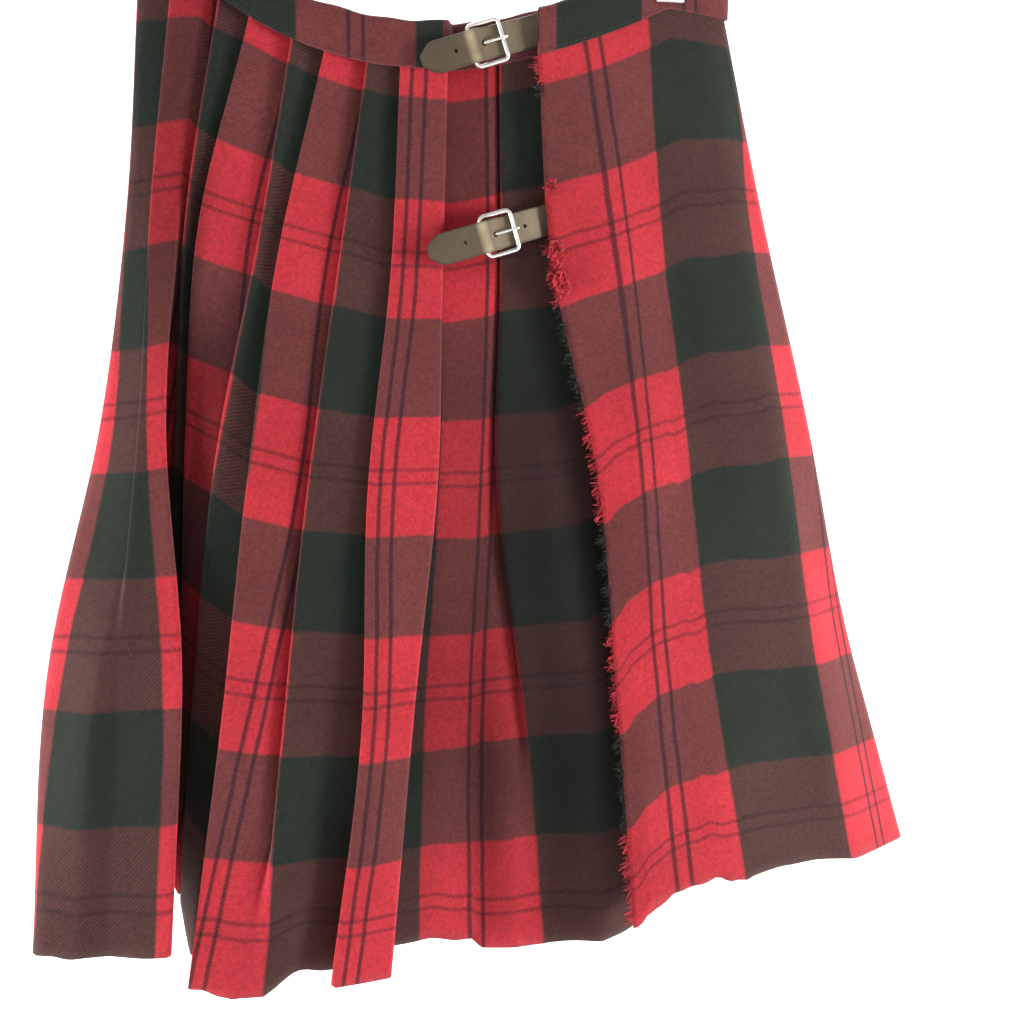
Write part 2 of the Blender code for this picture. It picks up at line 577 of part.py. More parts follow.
fastening("upper", (26.0, -17.9, -181.0), 18.0, 6.0, 45.0, [(20, -0.6), (28, -1.9), (33, -2.2), (46, -0.9)],
          (-32.0, 0.5), [(-3.0, 3.5)], (leather, metal))
fastening("lower", (31.5, -26.0, -299.0), 16.0, 8.0, 49.0, [(20, -0.2), (28, -2.6), (36, -4.2), (48, -0.7)],
          (-32.0, -3.1), [(-3.0, 3.5), (-22.0, 3.3), (19.0, 0.3)], (leather, metal))

# hanger: bar, two clips, hook
tube("hanger_bar", [(x, 0.0, BAR_Z) for x in (-172.0, -171.0, 171.0, 172.0)], 4.0, plastic, sides=16)
for tag, sx, face in (("left", -1, 0), ("right", 1, 1)):
    clip("clip_" + tag, sx * CLIP_X, plastic, faces_front[face] - BAND_FACE - GAP, faces_back[face] + BAND_FACE + GAP)
hook = [(0.0, 0.0, BAR_Z + 4.4), (0.0, 0.0, -70.0), (0.0, 0.0, -54.0), (3.0, 0.0, -46.0), (10.0, 0.0, -38.0)]
hook += [(20.0 * math.cos(math.radians(a)), 0.0, -18.2 + 20.0 * math.sin(math.radians(a)))
         for a in range(-30, 211, 20)]
tube("hook", hook, 1.9, steel, sides=8)
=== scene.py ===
import math

import bmesh
import bpy
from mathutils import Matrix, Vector


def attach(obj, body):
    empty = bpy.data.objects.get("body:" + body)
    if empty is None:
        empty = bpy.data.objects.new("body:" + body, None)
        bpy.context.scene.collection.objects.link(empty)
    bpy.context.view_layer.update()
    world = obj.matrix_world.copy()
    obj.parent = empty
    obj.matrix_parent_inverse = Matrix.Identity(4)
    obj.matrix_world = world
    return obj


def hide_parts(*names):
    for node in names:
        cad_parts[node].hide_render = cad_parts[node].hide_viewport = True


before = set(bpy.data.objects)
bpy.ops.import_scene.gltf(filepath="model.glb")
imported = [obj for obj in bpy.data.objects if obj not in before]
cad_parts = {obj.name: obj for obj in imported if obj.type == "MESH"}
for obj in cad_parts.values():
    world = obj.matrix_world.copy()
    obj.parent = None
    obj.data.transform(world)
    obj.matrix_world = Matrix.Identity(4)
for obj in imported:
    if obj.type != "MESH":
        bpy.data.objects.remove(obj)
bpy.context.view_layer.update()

# --- front width of cloth ---------------------------------
# Wool tartan in a 2/2 twill, pleated by hand so that red and green stripes take turns on top.
# The top edge is caught in the waistband, the left end is seamed to the back inside the side fold,
# and the right end lies under the apron.

MM = 0.001
WALL = 1.15  # thickness of the wool
SETT = 141.0  # one repeat of the tartan
LENGTH = 573.0  # cloth below the waist seam
TURN_UP = 8.0  # cloth caught in the waistband
LEVELS = (0.0, 130.0, 270.0, 420.0, 573.0)  # depths that the columns of a table stand for
PITCH = (2.6, 2.6, 2.8, 3.1, 3.5)  # layer to layer in a tuck
CLIP_X, CLIP_Z = 148.0, -152.0  # waist seam where the clips hold it
SAG_FRONT, SAG_BACK = 45.0, 50.0  # the seam hangs this much lower between them
SAG_SKEW = 0.22  # and is lowest left of the middle
WEFT_START = 0.14  # the weft's place in its repeat at the waist seam
ROW_STEP, LEG_STEP = 7.5, 6.0  # height and greatest width of the cloth's faces
SEAM_CUT = 0.15  # each width stops this short of a side seam
FOLD_ROUND = 2.2  # rounding of a tuck's creases
CORNER_SPANS, CORNER_SHARE = 3, 0.46  # faces round a corner, and the most that it takes of a stretch
OPENS_AT, OPENS_OVER = 3.0, 9.0  # a tuck shallower than this opens, in full when this much shallower
SLACK = 2.5  # curve left in the layers of an opened tuck
SIDE_DROP = 0.08  # slope of the seam outside the clips
RIPPLES_FROM, RIPPLES_SPAN = 40.0, 120.0  # the ripples grow from here down, over this depth

# Each row is a feature of the cloth's plan line at the five levels, from left to right.  The sett mark is
# its place in the warp's repeats; None follows by length, and one number holds at every level.
#   point: name, x, y, sett mark, rounding
#   tuck and over: name, x, y, sett mark, depth, gap behind the crease, angle it lies at
FRONT = [
 ("point", "seam left", (-176, -184, -204, -238, -258), (13, 15, 8, -8, -28),
  (-3.90, -3.93, -4.05, -4.12, -4.1), 3),
 ("point", "side fold", (-190, -201, -221, -255, -265), (0, -2, -14, -40, -80), None, 9),
 ("tuck", "pleat 1", (-166, -182, -193, -209, -222), (-7, -14, -37, -68, -87),
  (-3.24, -3.24, -3.3, -3.4, -3.45), (18, 15, 7, -4, -8), (5.4, 5.4, 5.8, 5.8, 2.8), (5, 7, 8, 6, 0)),
 ("point", "flap", (-150, -165, -177, -171, -182), (-6, -13, -40, -76, -100),
  (-3.1, -3.1, -3.14, -3.18, -3.18), 3),
 ("point", "flap back", (-144, -163, -181, -188, -202), (-5, -10, -20, -35, -36), None, 3),
 ("tuck", "pleat 2", (-138, -161, -172, -180, -194), (-9, -15, -24, -29, -12),
  (-2.75, -2.75, -2.72, -2.6, -2.47), (15, 6, 8, 15, 15), (5.4, 5.4, 6.2, 8, 8), (9, 9, 12, 18, 20)),
 ("tuck", "pleat 3", (-120, -154, -166, -174, -188), (-11, -17, -28, -35, -12),
  (-2.24, -2.24, -2.24, -2.15, -2.02), (22.5, 29, 29, 27, 25.5), (5.4, 5.4, 6.2, 8, 8), (9, 9, 14, 18, 20)),
 ("tuck", "pleat 4", (-95, -119, -148, -166, -180), (-12, -22, -44, -54, -18),
  (-1.75, -1.75, -1.75, -1.64, -1.56), (18, 10, 17, 28, 25.7), (5.4, 5.4, 6.2, 8, 8), (10, 10, 14, 20, 22)),
 ("tuck", "pleat 5", (-75, -107, -129, -149, -173), (-14, -26, -54, -80, -99),
  (-1.24, -1.24, -1.25, -1.13, -1.03), (23, 28, 24, 26.4, 32.6), (5.4, 5.4, 8, 17, 44), (10, 10, 18, 30, 42)),
 ("tuck", "pleat 6", (-49, -70, -93, -113, -132), (-15, -27, -53, -80, -100), -0.75,
  (19, 14, 15, 6, -8), (5.4, 5.4, 6, 6.2, 1.8), (10, 8, 10, 8, 0)),
 ("tuck", "pleat 7", (-28, -37, -56, -65, -88), (-17, -29, -54, -80, -101), -0.08,
  (25, 25, 24, 20.5, 22.8), (5.4, 5.4, 6.5, 12, 20), (-1, -1, 9, 30, 42)),
 ("over", "box fold", (1, -5, -13, -33, -51), (-18, -30, -52, -76, -96), (0.78, 0.74, 0.72, 0.66, 0.6),
  (27, 27, 27, 29, 17.5), (13.2, 13.4, 16, 32, 46), (3, 6, 15, 35, 55)),
 ("point", "line pair", (32, 31, 24, 15, 14), (-8, -15, -24, -32, -38), 1.0, 4),
 ("tuck", "under pleat", (37, 36, 31, 46, 58), (-9, -16, -26, -34, -41), 1.25,
  (13, 13, 12, -1, -8), (5.4, 5.4, 5.6, 4.8, 2.8), (5, 5, 6, 4, 0)),
 ("point", "ridge", (56, 69, 84, 98, 102), (-8, -13, -24, -38, -47), None, 6),
 ("point", "under apron", (80, 92, 112, 128, 136), (-7, -11, -17, -26, -34), None, 6),
 ("point", "free end", (140, 150, 165, 176, 186), (-3, -5, -12, -22, -30), None, 3)]

# Where the cloth hangs higher than its length: seam x, then by how much below mid length and at the hem.
HANG_MID, HANG_LOW = 380.0, 470.0
FRONT_HANG = [(-196, 8, 0), (-166, 10, -5), (-146, 10, -4), (-134, 18, 24), (-96, 18, 24), (-76, 14, 11),
              (-50, 12, 8), (-38, 12, 19), (-29, 11, 13), (-24, 10, 9), (0, 8, 7), (14, 8, 7), (26, 7, 1),
              (36, 7, -10), (56, 6, -13), (80, 5, -12), (110, 3, -5), (150, 0, 0)]
# The weft runs a little off level where the cloth was pressed: seam x, then how far up at the five levels.
FRONT_PICKS = [(-176, 0), (-138, (0, 4, 3, 1, 0)), (-120, (4, 9, 6, 3, 2)), (-95, (4, 9.5, 8.5, 7.5, 7)),
               (-75, (3, 8.5, 6, 7.5, 7)), (-49, (2, 6.5, 3, 8, 9)), (-28, (1, 0.5, 1, 4.5, 7)),
               (1, (0, -1.5, -2.5, -2.5, -2.5)), (30, (0, 1, -6, -6, -4)), (37, (1, 2, -5.5, -4, -1)),
               (56, (1, 3, -3.5, -3.5, -3)), (80, (1, 2.5, 2, -2.5, -4)), (150, 0)]
# Soft ripples of the hanging cloth, the same for every layer at a place:
#   x, depth below the waist, half width, half length, push towards the front, lean in x down the cloth
FRONT_RIPPLES = [
 (-205, 330, 16, 120, 2.4, -0.20), (-232, 470, 15, 90, 3.3, -0.10), (-150, 260, 14, 90, 1.8, -0.16),
 (-160, 505, 22, 60, -3.0, -0.08), (-128, 410, 16, 80, 2.7, -0.12), (-104, 520, 18, 60, 3.6, -0.06),
 (-86, 300, 13, 110, -2.0, -0.14), (-60, 470, 17, 90, 3.0, -0.10), (-30, 380, 18, 130, -2.4, -0.06),
 (-10, 250, 14, 70, 1.8, 0.0), (8, 500, 20, 80, -3.3, 0.02), (30, 430, 16, 110, 3.3, 0.05),
 (62, 520, 18, 70, -3.0, 0.05), (75, 330, 16, 120, 2.4, 0.08), (96, 470, 17, 90, 2.7, 0.06)]


def at_level(row, v):
    """Smooth value of a five-column row at cloth depth v; one number holds at every depth."""
    if isinstance(row, (int, float)):
        return float(row)
    if v <= LEVELS[0]:
        return float(row[0])
    i = max(k for k in range(4) if v >= LEVELS[k])
    h = LEVELS[i + 1] - LEVELS[i]
    t = (v - LEVELS[i]) / h
    p, q = row[i], row[i + 1]
    enter = (q - p) / h if i == 0 else (q - row[i - 1]) / (LEVELS[i + 1] - LEVELS[i - 1])
    leave = (q - p) / h if i == 3 else (row[i + 2] - p) / (LEVELS[i + 2] - LEVELS[i])
    t2, t3 = t * t, t * t * t
    return ((2 * t3 - 3 * t2 + 1) * p + (t3 - 2 * t2 + t) * h * enter
            + (3 * t2 - 2 * t3) * q + (t3 - t2) * h * leave)


def ease(x):
    x = min(1.0, max(0.0, x))
    return x * x * (3.0 - 2.0 * x)


def fold_corners(table, v, facing):
    """Corners of the plan line at depth v as [x, y, rounding, sett mark].
    A mark is a number, "length" (it follows the cloth's length) or "hidden" (spread inside the tuck)."""
    pitch = at_level(PITCH, v)
    out = []
    for row in table:
        kind, x, y = row[0], at_level(row[2], v), at_level(row[3], v)
        mark = "length" if row[4] is None else at_level(row[4], v)
        if kind == "point":
            out.append([x, y, row[5], mark])
            continue
        depth, gap, lay = at_level(row[5], v), at_level(row[6], v), math.radians(at_level(row[7], v))
        c, s = math.cos(lay), math.sin(lay)
        side = facing if kind == "tuck" else -facing
        opened = ease((OPENS_AT - depth) / OPENS_OVER)
        slack, layer = SLACK * opened, pitch * (1.0 - 0.9 * opened ** 2)
        gap *= 1.0 - 0.85 * opened ** 3
        if kind == "tuck":
            arrive = -slack * 1.5 if depth > 0 else depth - 3 * slack
            steps = [(arrive, gap, "length"), (depth * c - slack, layer * 2.0 + depth * s, "hidden"),
                     (depth * c + slack * 0.4, layer * 1.35 + depth * s, "hidden"),
                     (-slack * 0.4, layer * 0.65, "hidden"), (slack, 0.0, mark)]
        else:
            base = min(gap - 2 * pitch, 3 * pitch)
            steps = [(0.0, 0.0, "length"), (0.0, base, "hidden"), (depth * c, base + depth * s, "hidden"),
                     (depth * c, base + pitch + depth * s, "hidden"), (0.0, gap, mark)]
        for dx, dy, place in steps:
            out.append([x + side * dx, y + facing * dy, FOLD_ROUND, place])
    return out


def set_marks(corners):
    """Give each corner its place in the warp's repeat."""
    marks = [c[3] for c in corners]
    gone = [0.0]
    for a, b in zip(corners, corners[1:]):
        gone.append(gone[-1] + math.hypot(b[0] - a[0], b[1] - a[1]))
    for i, m in enumerate(marks):
        if m == "length":
            marks[i] = marks[i - 1] + (gone[i] - gone[i - 1]) / SETT
        elif m == "hidden" and marks[i - 1] != "hidden":
            j = next(k for k in range(i, len(marks)) if marks[k] not in ("hidden", "length"))
            before, taken = marks[i - 1], gone[j] - gone[i - 1]
            for k in range(i, j):
                marks[k] = before + (marks[j] - before) * (gone[k] - gone[i - 1]) / taken
    return marks


BETWEEN_LEVELS = (65.0, 200.0, 345.0, 500.0)


def leg_counts(table, facing):
    """How many spans each stretch between corners takes, from its greatest length."""
    most = None
    for v in LEVELS + BETWEEN_LEVELS:
        pts = fold_corners(table, v, facing)
        legs = [math.hypot(b[0] - a[0], b[1] - a[1]) for a, b in zip(pts, pts[1:])]
        most = legs if most is None else [max(a, b) for a, b in zip(most, legs)]
    return [max(1, math.ceil(leg / LEG_STEP)) for leg in most]


def soft_line(corners, counts):
    """Plan line with its corners rounded, as (x, y, sett), with the same number of points at every depth."""
    pts = [Vector((c[0], c[1], mark)) for c, mark in zip(corners, set_marks(corners))]
    legs = [(b.xy - a.xy).length for a, b in zip(pts, pts[1:])]
    last = len(pts) - 1
    out = [pts[0]]
    leave = pts[0]
    for i, leg in enumerate(legs):
        corner, r = pts[i + 1], corners[i + 1][2]
        enter = corner if i + 1 == last else corner.lerp(pts[i], min(r / leg, CORNER_SHARE))
        out += [leave.lerp(enter, k / counts[i]) for k in range(1, counts[i])]
        if i + 1 == last:
            out.append(corner)
            continue
        leave = corner.lerp(pts[i + 2], min(r / legs[i + 1], CORNER_SHARE))
        for k in range(CORNER_SPANS + 1):
            t = k / CORNER_SPANS
            out.append(enter * (1 - t) ** 2 + corner * 2 * t * (1 - t) + leave * t * t)
    return out


def seam_height(x, sag):
    """Height of the waist seam: clipped at two places, sagging between them."""
    if abs(x) >= CLIP_X:
        return CLIP_Z - SIDE_DROP * (abs(x) - CLIP_X)
    t = x / CLIP_X
    return CLIP_Z - sag * (1.0 - t * t) * (1.0 - SAG_SKEW * t)


def between(table, x):
    """The rows of a table on either side of x, and how far x lies from the first to the second."""
    for first, second in zip(table, table[1:]):
        if x < second[0]:
            break
    return first, second, (x - first[0]) / (second[0] - first[0])


def lift(hang, x, v):
    """How much higher than the cloth's length it hangs at depth v, below seam position x."""
    first, second, f = between(hang, x)
    mid, hem = (a + (b - a) * ease(f) for a, b in zip(first[1:], second[1:]))
    return mid * ease(v / HANG_MID) + (hem - mid) * ease((v - HANG_LOW) / (LENGTH - HANG_LOW))


def off_level(picks, x, v):
    """How far up the cloth the weft has drifted at depth v, below seam position x."""
    first, second, f = between(picks, x)
    here, there = at_level(first[1], v), at_level(second[1], v)
    return here + (there - here) * ease(f)


def ripple(ripples, x, v):
    """Sum of the soft troughs and ridges at one place of the cloth."""
    push = 0.0
    for cx, cv, half_w, half_l, height, lean in ripples:
        a = (x - cx - lean * (v - cv)) / half_w
        b = (v - cv) / half_l
        push += height * math.exp(-a * a - b * b)
    return push * ease((v - RIPPLES_FROM) / RIPPLES_SPAN)


def offset_line(pts, dist):
    """Plan line moved sideways; positive is to its left."""
    out = []
    n = len(pts)
    for i in range(n):
        a = (pts[i].xy - pts[i - 1].xy).normalized() if i else None
        b = (pts[i + 1].xy - pts[i].xy).normalized() if i < n - 1 else None
        a = b if a is None else a
        b = a if b is None else b
        na, nb = Vector((-a.y, a.x)), Vector((-b.y, b.x))
        k = dist / max(0.5, 1.0 + na.dot(nb))
        out.append(pts[i].xy + (na + nb) * k)
    return out


def shown(name, data):
    """A new object in the scene."""
    ob = bpy.data.objects.new(name, data)
    bpy.context.scene.collection.objects.link(ob)
    return ob


def smooth_faces(mesh):
    for poly in mesh.polygons:
        poly.use_smooth = True


def ring_faces(rings, m, closed=False):
    """Faces between neighbouring rings of m points each; a closed run joins its last ring to its first."""
    faces = []
    for r in range(rings if closed else rings - 1):
        here, after = r * m, (r + 1) % rings * m
        faces += [(here + i, here + (i + 1) % m, after + (i + 1) % m, after + i) for i in range(m)]
    return faces


def wall_ends(rings, m):
    """Faces across the two ends of a wall, each ring being up one side and back down the other."""
    return [(base + i, base + i + 1, base + m - 2 - i, base + m - 1 - i)
            for base in (0, (rings - 1) * m) for i in range(m // 2 - 1)]


def closed_mesh(name, verts, faces, uvs=None, material=None):
    """A piece from points in mm, its faces turned outward, with a UV for each point."""
    mesh = bpy.data.meshes.new(name)
    mesh.from_pydata([(p[0] * MM, p[1] * MM, p[2] * MM) for p in verts], [], faces)
    if uvs:
        layer = mesh.uv_layers.new(name="weave")
        for loop in mesh.loops:
            layer.data[loop.index].uv = uvs[loop.vertex_index]
    bm = bmesh.new()
    bm.from_mesh(mesh)
    bmesh.ops.recalc_face_normals(bm, faces=bm.faces)
    if bm.calc_volume(signed=True) < 0:
        bmesh.ops.reverse_faces(bm, faces=bm.faces)
    bm.to_mesh(mesh)
    bm.free()
    smooth_faces(mesh)
    if material:
        mesh.materials.append(material)
    return shown(name, mesh)


def trimmed(pts, start, end):
    """Shorten a plan line at its ends."""
    pts = list(pts)
    if start:
        pts[0] = pts[0] + (pts[1] - pts[0]) * (start / (pts[1].xy - pts[0].xy).length)
    if end:
        pts[-1] = pts[-1] + (pts[-2] - pts[-1]) * (end / (pts[-2].xy - pts[-1].xy).length)
    return pts


def past_tucks(seam, facing):
    """Seam places with the layers under each crease counted at the crease itself."""
    out = list(seam)
    for i in range(len(out) - 2, -1, -1):
        out[i] = min(out[i], out[i + 1]) if facing > 0 else max(out[i], out[i + 1])
    return out


CALM_BY = 150.0  # from here down a tuck's layers share its crease's height
HEM_FROM, HEM_SPAN = 440.0, 130.0  # where the hem starts to wave
HEM_WAVES = ((0.8, 0.17), (0.4, 0.45))  # height and turn of each wave


def cloth_width(name, table, hang, picks, ripples, cut, facing=1.0, sag=SAG_FRONT):
    """One width of cloth: a thin closed shell hung from the waist seam."""
    counts = leg_counts(table, facing)
    steps = round(LENGTH / ROW_STEP)
    depths = [-TURN_UP, -0.5 * TURN_UP] + [LENGTH * k / steps for k in range(steps + 1)]
    verts, uvs, seam = [], [], None
    for v in depths:
        line = trimmed(soft_line(fold_corners(table, max(0.0, v), facing), counts), *cut)
        if seam is None:
            seam = [p.x for p in line]
            crease = past_tucks(seam, facing)
        calm = ease(v / CALM_BY)
        hem = ease((v - HEM_FROM) / HEM_SPAN)
        places = [x + (c - x) * calm for x, c in zip(seam, crease)]
        heights, wefts = [], []
        for x, p in zip(places, line):
            p.y -= ripple(ripples, p.x, v)
            wave = sum(size * math.sin(turn * x) for size, turn in HEM_WAVES)
            heights.append(seam_height(x, sag) - v + lift(hang, x, v) + hem * wave)
            wefts.append(WEFT_START + (v + off_level(picks, x, max(0.0, v))) / SETT)
        face, back = offset_line(line, WALL / 2), offset_line(line, -WALL / 2)
        ring = [(p.x, p.y, z) for p, z in zip(face, heights)]
        ring += [(p.x, p.y, z) for p, z in zip(reversed(back), reversed(heights))]
        verts += ring
        weave = [(p.z, weft) for p, weft in zip(line, wefts)]
        uvs += weave + weave[::-1]
    faces = ring_faces(len(depths), len(ring)) + wall_ends(len(depths), len(ring))
    return closed_mesh(name, verts, faces, uvs, tartan)


class Layout:
    """Short hand for laying out the nodes of a tree."""

    def join(self, value, socket):
        if isinstance(value, bpy.types.NodeSocket):
            self.tree.links.new(value, socket)
        else:
            socket.default_value = (*value, 1.0) if socket.type == "RGBA" else value

    def add(self, kind, inputs=(), **settings):
        node = self.tree.nodes.new(kind)
        for key, value in settings.items():
            setattr(node, key, value)
        for key, value in dict(inputs).items():
            self.join(value, node.inputs[key])
        return node

    def first(self, kind, inputs=(), **settings):
        return self.add(kind, inputs, **settings).outputs[0]

    def math(self, operation, *values):
        return self.first("ShaderNodeMath", enumerate(values), operation=operation)


class Finish(Layout):
    """A material and the nodes of its shader."""

    def __init__(self, name):
        self.material = bpy.data.materials.new(name)
        self.material.use_nodes = True
        self.tree = self.material.node_tree
        self.shader = self.tree.nodes["Principled BSDF"]

    def place(self, kind="Object"):
        return self.add("ShaderNodeTexCoord").outputs[kind]

    def attribute(self, name):
        return self.add("ShaderNodeAttribute", attribute_name=name).outputs["Fac"]

    def noise(self, scale, detail, place):
        return self.first("ShaderNodeTexNoise", {"Vector": place, "Scale": scale, "Detail": detail})

    def spread(self, value, low, high, new_low=0.0, new_high=1.0):
        inputs = {"Value": value, "From Min": low, "From Max": high, "To Min": new_low, "To Max": new_high}
        return self.first("ShaderNodeMapRange", inputs)

    def mix(self, factor, first, second, blend="MIX"):
        node = self.add("ShaderNodeMix", {0: factor, 6: first, 7: second}, data_type="RGBA", blend_type=blend)
        return node.outputs[2]

    def tint(self, colour, value, low, high, dark, light):
        """The colour times a factor from dark to light."""
        return self.mix(1.0, colour, self.spread(value, low, high, dark, light), "MULTIPLY")

    def bump(self, height, distance, strength):
        inputs = {"Strength": strength, "Distance": distance, "Height": height}
        self.set(Normal=self.first("ShaderNodeBump", inputs))

    def set(self, **values):
        for key, value in values.items():
            self.join(value, self.shader.inputs[key.replace("_", " ")])


THREADS = 230.0  # ends and picks in one sett
GREEN_WARP, GREEN_WEFT, GREEN_FRINGE = (0.25, 0.75), (0.272, 0.728), (0.255, 0.745)
LINE_PLACE, LINE_HALF = 0.031, 0.0095  # the pair of dark lines in each red stripe
EDGE = 0.006  # half the blur of a stripe's edge
RED, GREEN, NAVY = (0.43, 0.026, 0.038), (0.0135, 0.0188, 0.0148), (0.026, 0.009, 0.014)
RED_WARP_MIX, GREEN_WARP_MIX = (0.114, 0.031, 0.031), (0.036, 0.024, 0.020)


def stripe_masks(n, place, green):
    """Green stripe and dark line pair along one direction, 0 to 1."""
    part = n.math("FRACT", place)
    start = n.spread(part, green[0] - EDGE, green[0] + EDGE)
    stop = n.spread(part, green[1] - EDGE, green[1] + EDGE, 1.0, 0.0)
    from_centre = n.math("ABSOLUTE", n.math("SUBTRACT", n.math("FRACT", n.math("ADD", place, 0.5)), 0.5))
    off_line = n.math("ABSOLUTE", n.math("SUBTRACT", from_centre, LINE_PLACE))
    return n.math("MULTIPLY", start, stop), n.spread(off_line, LINE_HALF * 0.55, LINE_HALF * 1.3, 1.0, 0.0)


def tartan_cloth():
    """Warp and weft stripes crossed in a 2/2 twill, with a soft nap."""
    n = Finish("tartan_cloth")
    split = n.add("ShaderNodeSeparateXYZ", {0: n.place("UV")}).outputs
    body = n.place()
    wander = n.math("MULTIPLY", n.math("SUBTRACT", n.noise(28.0, 1.0, body), 0.5), 0.012)
    warp_green, warp_line = stripe_masks(n, n.math("ADD", split[0], wander), GREEN_WARP)
    weft_green, weft_line = stripe_masks(n, n.math("ADD", split[1], wander), GREEN_WEFT)
    # twill: warp on top where the two thread numbers fall in the first half of four
    end, pick = n.math("MULTIPLY", split[0], THREADS), n.math("MULTIPLY", split[1], THREADS)
    ridge = n.math("SINE", n.math("MULTIPLY", n.math("ADD", end, pick), math.pi / 2))
    over = n.spread(ridge, -0.35, 0.35)
    yarn = n.mix(over, n.mix(weft_green, RED, GREEN), n.mix(warp_green, RED, GREEN))
    # seen from a way off: red, green, or the mix where one crosses the other
    greens = n.math("ADD", warp_green, weft_green)
    mixed = n.mix(warp_green, RED_WARP_MIX, GREEN_WARP_MIX)
    block = n.mix(n.math("MINIMUM", greens, 1.0), RED, mixed)
    block = n.mix(n.math("MAXIMUM", n.math("SUBTRACT", greens, 1.0), 0.0), block, GREEN)
    colour = n.mix(0.12, block, yarn)
    colour = n.mix(n.math("MULTIPLY", warp_line, n.spread(over, 0.0, 1.0, 0.65, 0.92)), colour, NAVY)
    colour = n.mix(n.math("MULTIPLY", weft_line, n.spread(over, 0.0, 1.0, 0.60, 0.32)), colour, NAVY)
    # nap, dye and wear, then painted shade darkening the cloth deep in the folds and under the apron
    fuzz = n.noise(1400.0, 2.0, body)
    colour = n.tint(colour, fuzz, 0.25, 0.75, 0.72, 1.28)
    colour = n.tint(colour, n.noise(380.0, 3.0, body), 0.3, 0.7, 0.82, 1.18)
    colour = n.tint(colour, n.noise(16.0, 1.0, body), 0.3, 0.7, 0.90, 1.10)
    # painted shade: the colour darkened where the cloth lies deep in the folds and under the apron
    colour = n.tint(colour, n.attribute("painted_fold_shade"), 0.0, 1.0, 1.0, 0.0)
    n.set(Base_Color=colour, Roughness=0.92, Specular_IOR_Level=0.18)
    n.set(Sheen_Weight=0.11, Sheen_Roughness=0.5, Sheen_Tint=(1.0, 0.85, 0.82))
    n.bump(n.math("ADD", n.math("MULTIPLY", ridge, 0.5), n.math("MULTIPLY", fuzz, 1.2)), 0.0002, 0.5)
    return n.material


SHADE_ACROSS, SHADE_TOP, SHADE_LOW = 0.08, 90.0, 110.0  # over how much a stretch of painted shade fades out


def paint_fold_shade(ob, stretches):
    """Store painted shade for the stretches that lie deep in the folds and under the apron, as an attribute
    that darkens the cloth's colour.
    """
    mesh = ob.data
    weave = mesh.uv_layers["weave"].data
    deep = mesh.attributes.new("painted_fold_shade", "FLOAT", "POINT").data
    for loop in mesh.loops:
        warp, weft = weave[loop.index].uv
        v = (weft - WEFT_START) * SETT
        shares = []
        for start, end, top, low, share in stretches:
            across = ease((warp - start) / SHADE_ACROSS) * ease((end - warp) / SHADE_ACROSS)
            shares.append(share * across * ease((v - top) / SHADE_TOP) * ease((low - v) / SHADE_LOW))
        deep[loop.vertex_index].value = max(shares)


tartan = tartan_cloth()
# Painted shade deep in the folds and under the apron. Each row: from and to in the warp's repeats, from and
# to down the cloth, how much darker the painted shade makes it.
PAINTED_FOLD_SHADE = [(-3.30, -2.70, -90.0, 260.0, 0.35), (-3.10, -2.18, 60.0, 600.0, 0.55),
            (-2.26, -1.80, 150.0, 600.0, 0.62), (0.50, 9.0, 140.0, 560.0, 0.40)]
FRONT_CUT = (SEAM_CUT, 0.0)
skirt_front = cloth_width("front_width", FRONT, FRONT_HANG, FRONT_PICKS, FRONT_RIPPLES, FRONT_CUT)
paint_fold_shade(skirt_front, PAINTED_FOLD_SHADE)
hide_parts("skirt_front")
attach(skirt_front, "root")

# --- over apron -------------------------------------------
# The same wool, flat and unpleated, laid over the front's free end.  Its left edge is cut and ravelled
# into a fringe, and it turns round the right side fold to the seam with the back.

APRON = [
 ("point", "edge", (60, 68, 97, 108, 117), (-17.5, -23, -34, -48, -61), -0.21, 3),
 ("point", "line pair", (96, 117, 130, 139, 154), (-15, -22, -34, -48, -60), 0.0, 6),
 ("point", "green from", (135, 143, 159, 174, 199), (-10, -17, -29, -42, -54), 0.25, 6),
 ("point", "green to", (172, 200, 226, 250, 286), (-7, -13, -24, -34, -40),
  (0.53, 0.68, 0.69, 0.72, 0.74), 9),
 ("point", "side fold", (195, 226, 262, 296, 346), (0, 1, -2, -4, -6), None, 9),
 ("point", "seam right", (178, 206, 241, 275, 318), (11, 16, 22, 30, 38), None, 3)]
APRON_HANG = [(50, 0, 0), (62, 0, 0), (75, 8, 10), (96, 10, 12), (115, 6, 8), (128, 0, -1), (140, 0, -5),
              (172, 0, -7), (200, 0, -4)]
APRON_PICKS = [(60, (0, 1, 0, 0, 2)), (96, (0, 1, 1, 5, 6)), (135, (0, -3, -0.5, 7, 8)),
               (154, (0, 1, 2.5, 2, 4)), (172, (0, 6, 8.5, 4.5, 6)), (195, (0, 6, 8, 7, 7))]
APRON_RIPPLES = [
 (112, 120, 14, 70, 1.3, 0.12), (128, 300, 16, 110, 2.3, 0.10), (160, 210, 18, 110, -1.8, 0.18),
 (150, 430, 20, 110, -2.3, 0.14), (178, 500, 22, 90, 2.9, 0.20), (205, 330, 20, 130, 2.3, 0.22),
 (236, 480, 22, 100, -2.6, 0.26), (262, 420, 20, 120, 2.6, 0.28), (126, 520, 14, 70, 2.1, 0.05)]

APRON_CUT = (0.0, SEAM_CUT)
skirt_apron = cloth_width("over_apron", APRON, APRON_HANG, APRON_PICKS, APRON_RIPPLES, APRON_CUT)
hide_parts("skirt_apron")
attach(skirt_apron, "root")

# --- back width -------------------------------------------
# The same wool in knife pleats all the way across, laid from the right side seam to the left one.
# The pleats open a little towards the hem, where the cloth stands in shallow flutes.

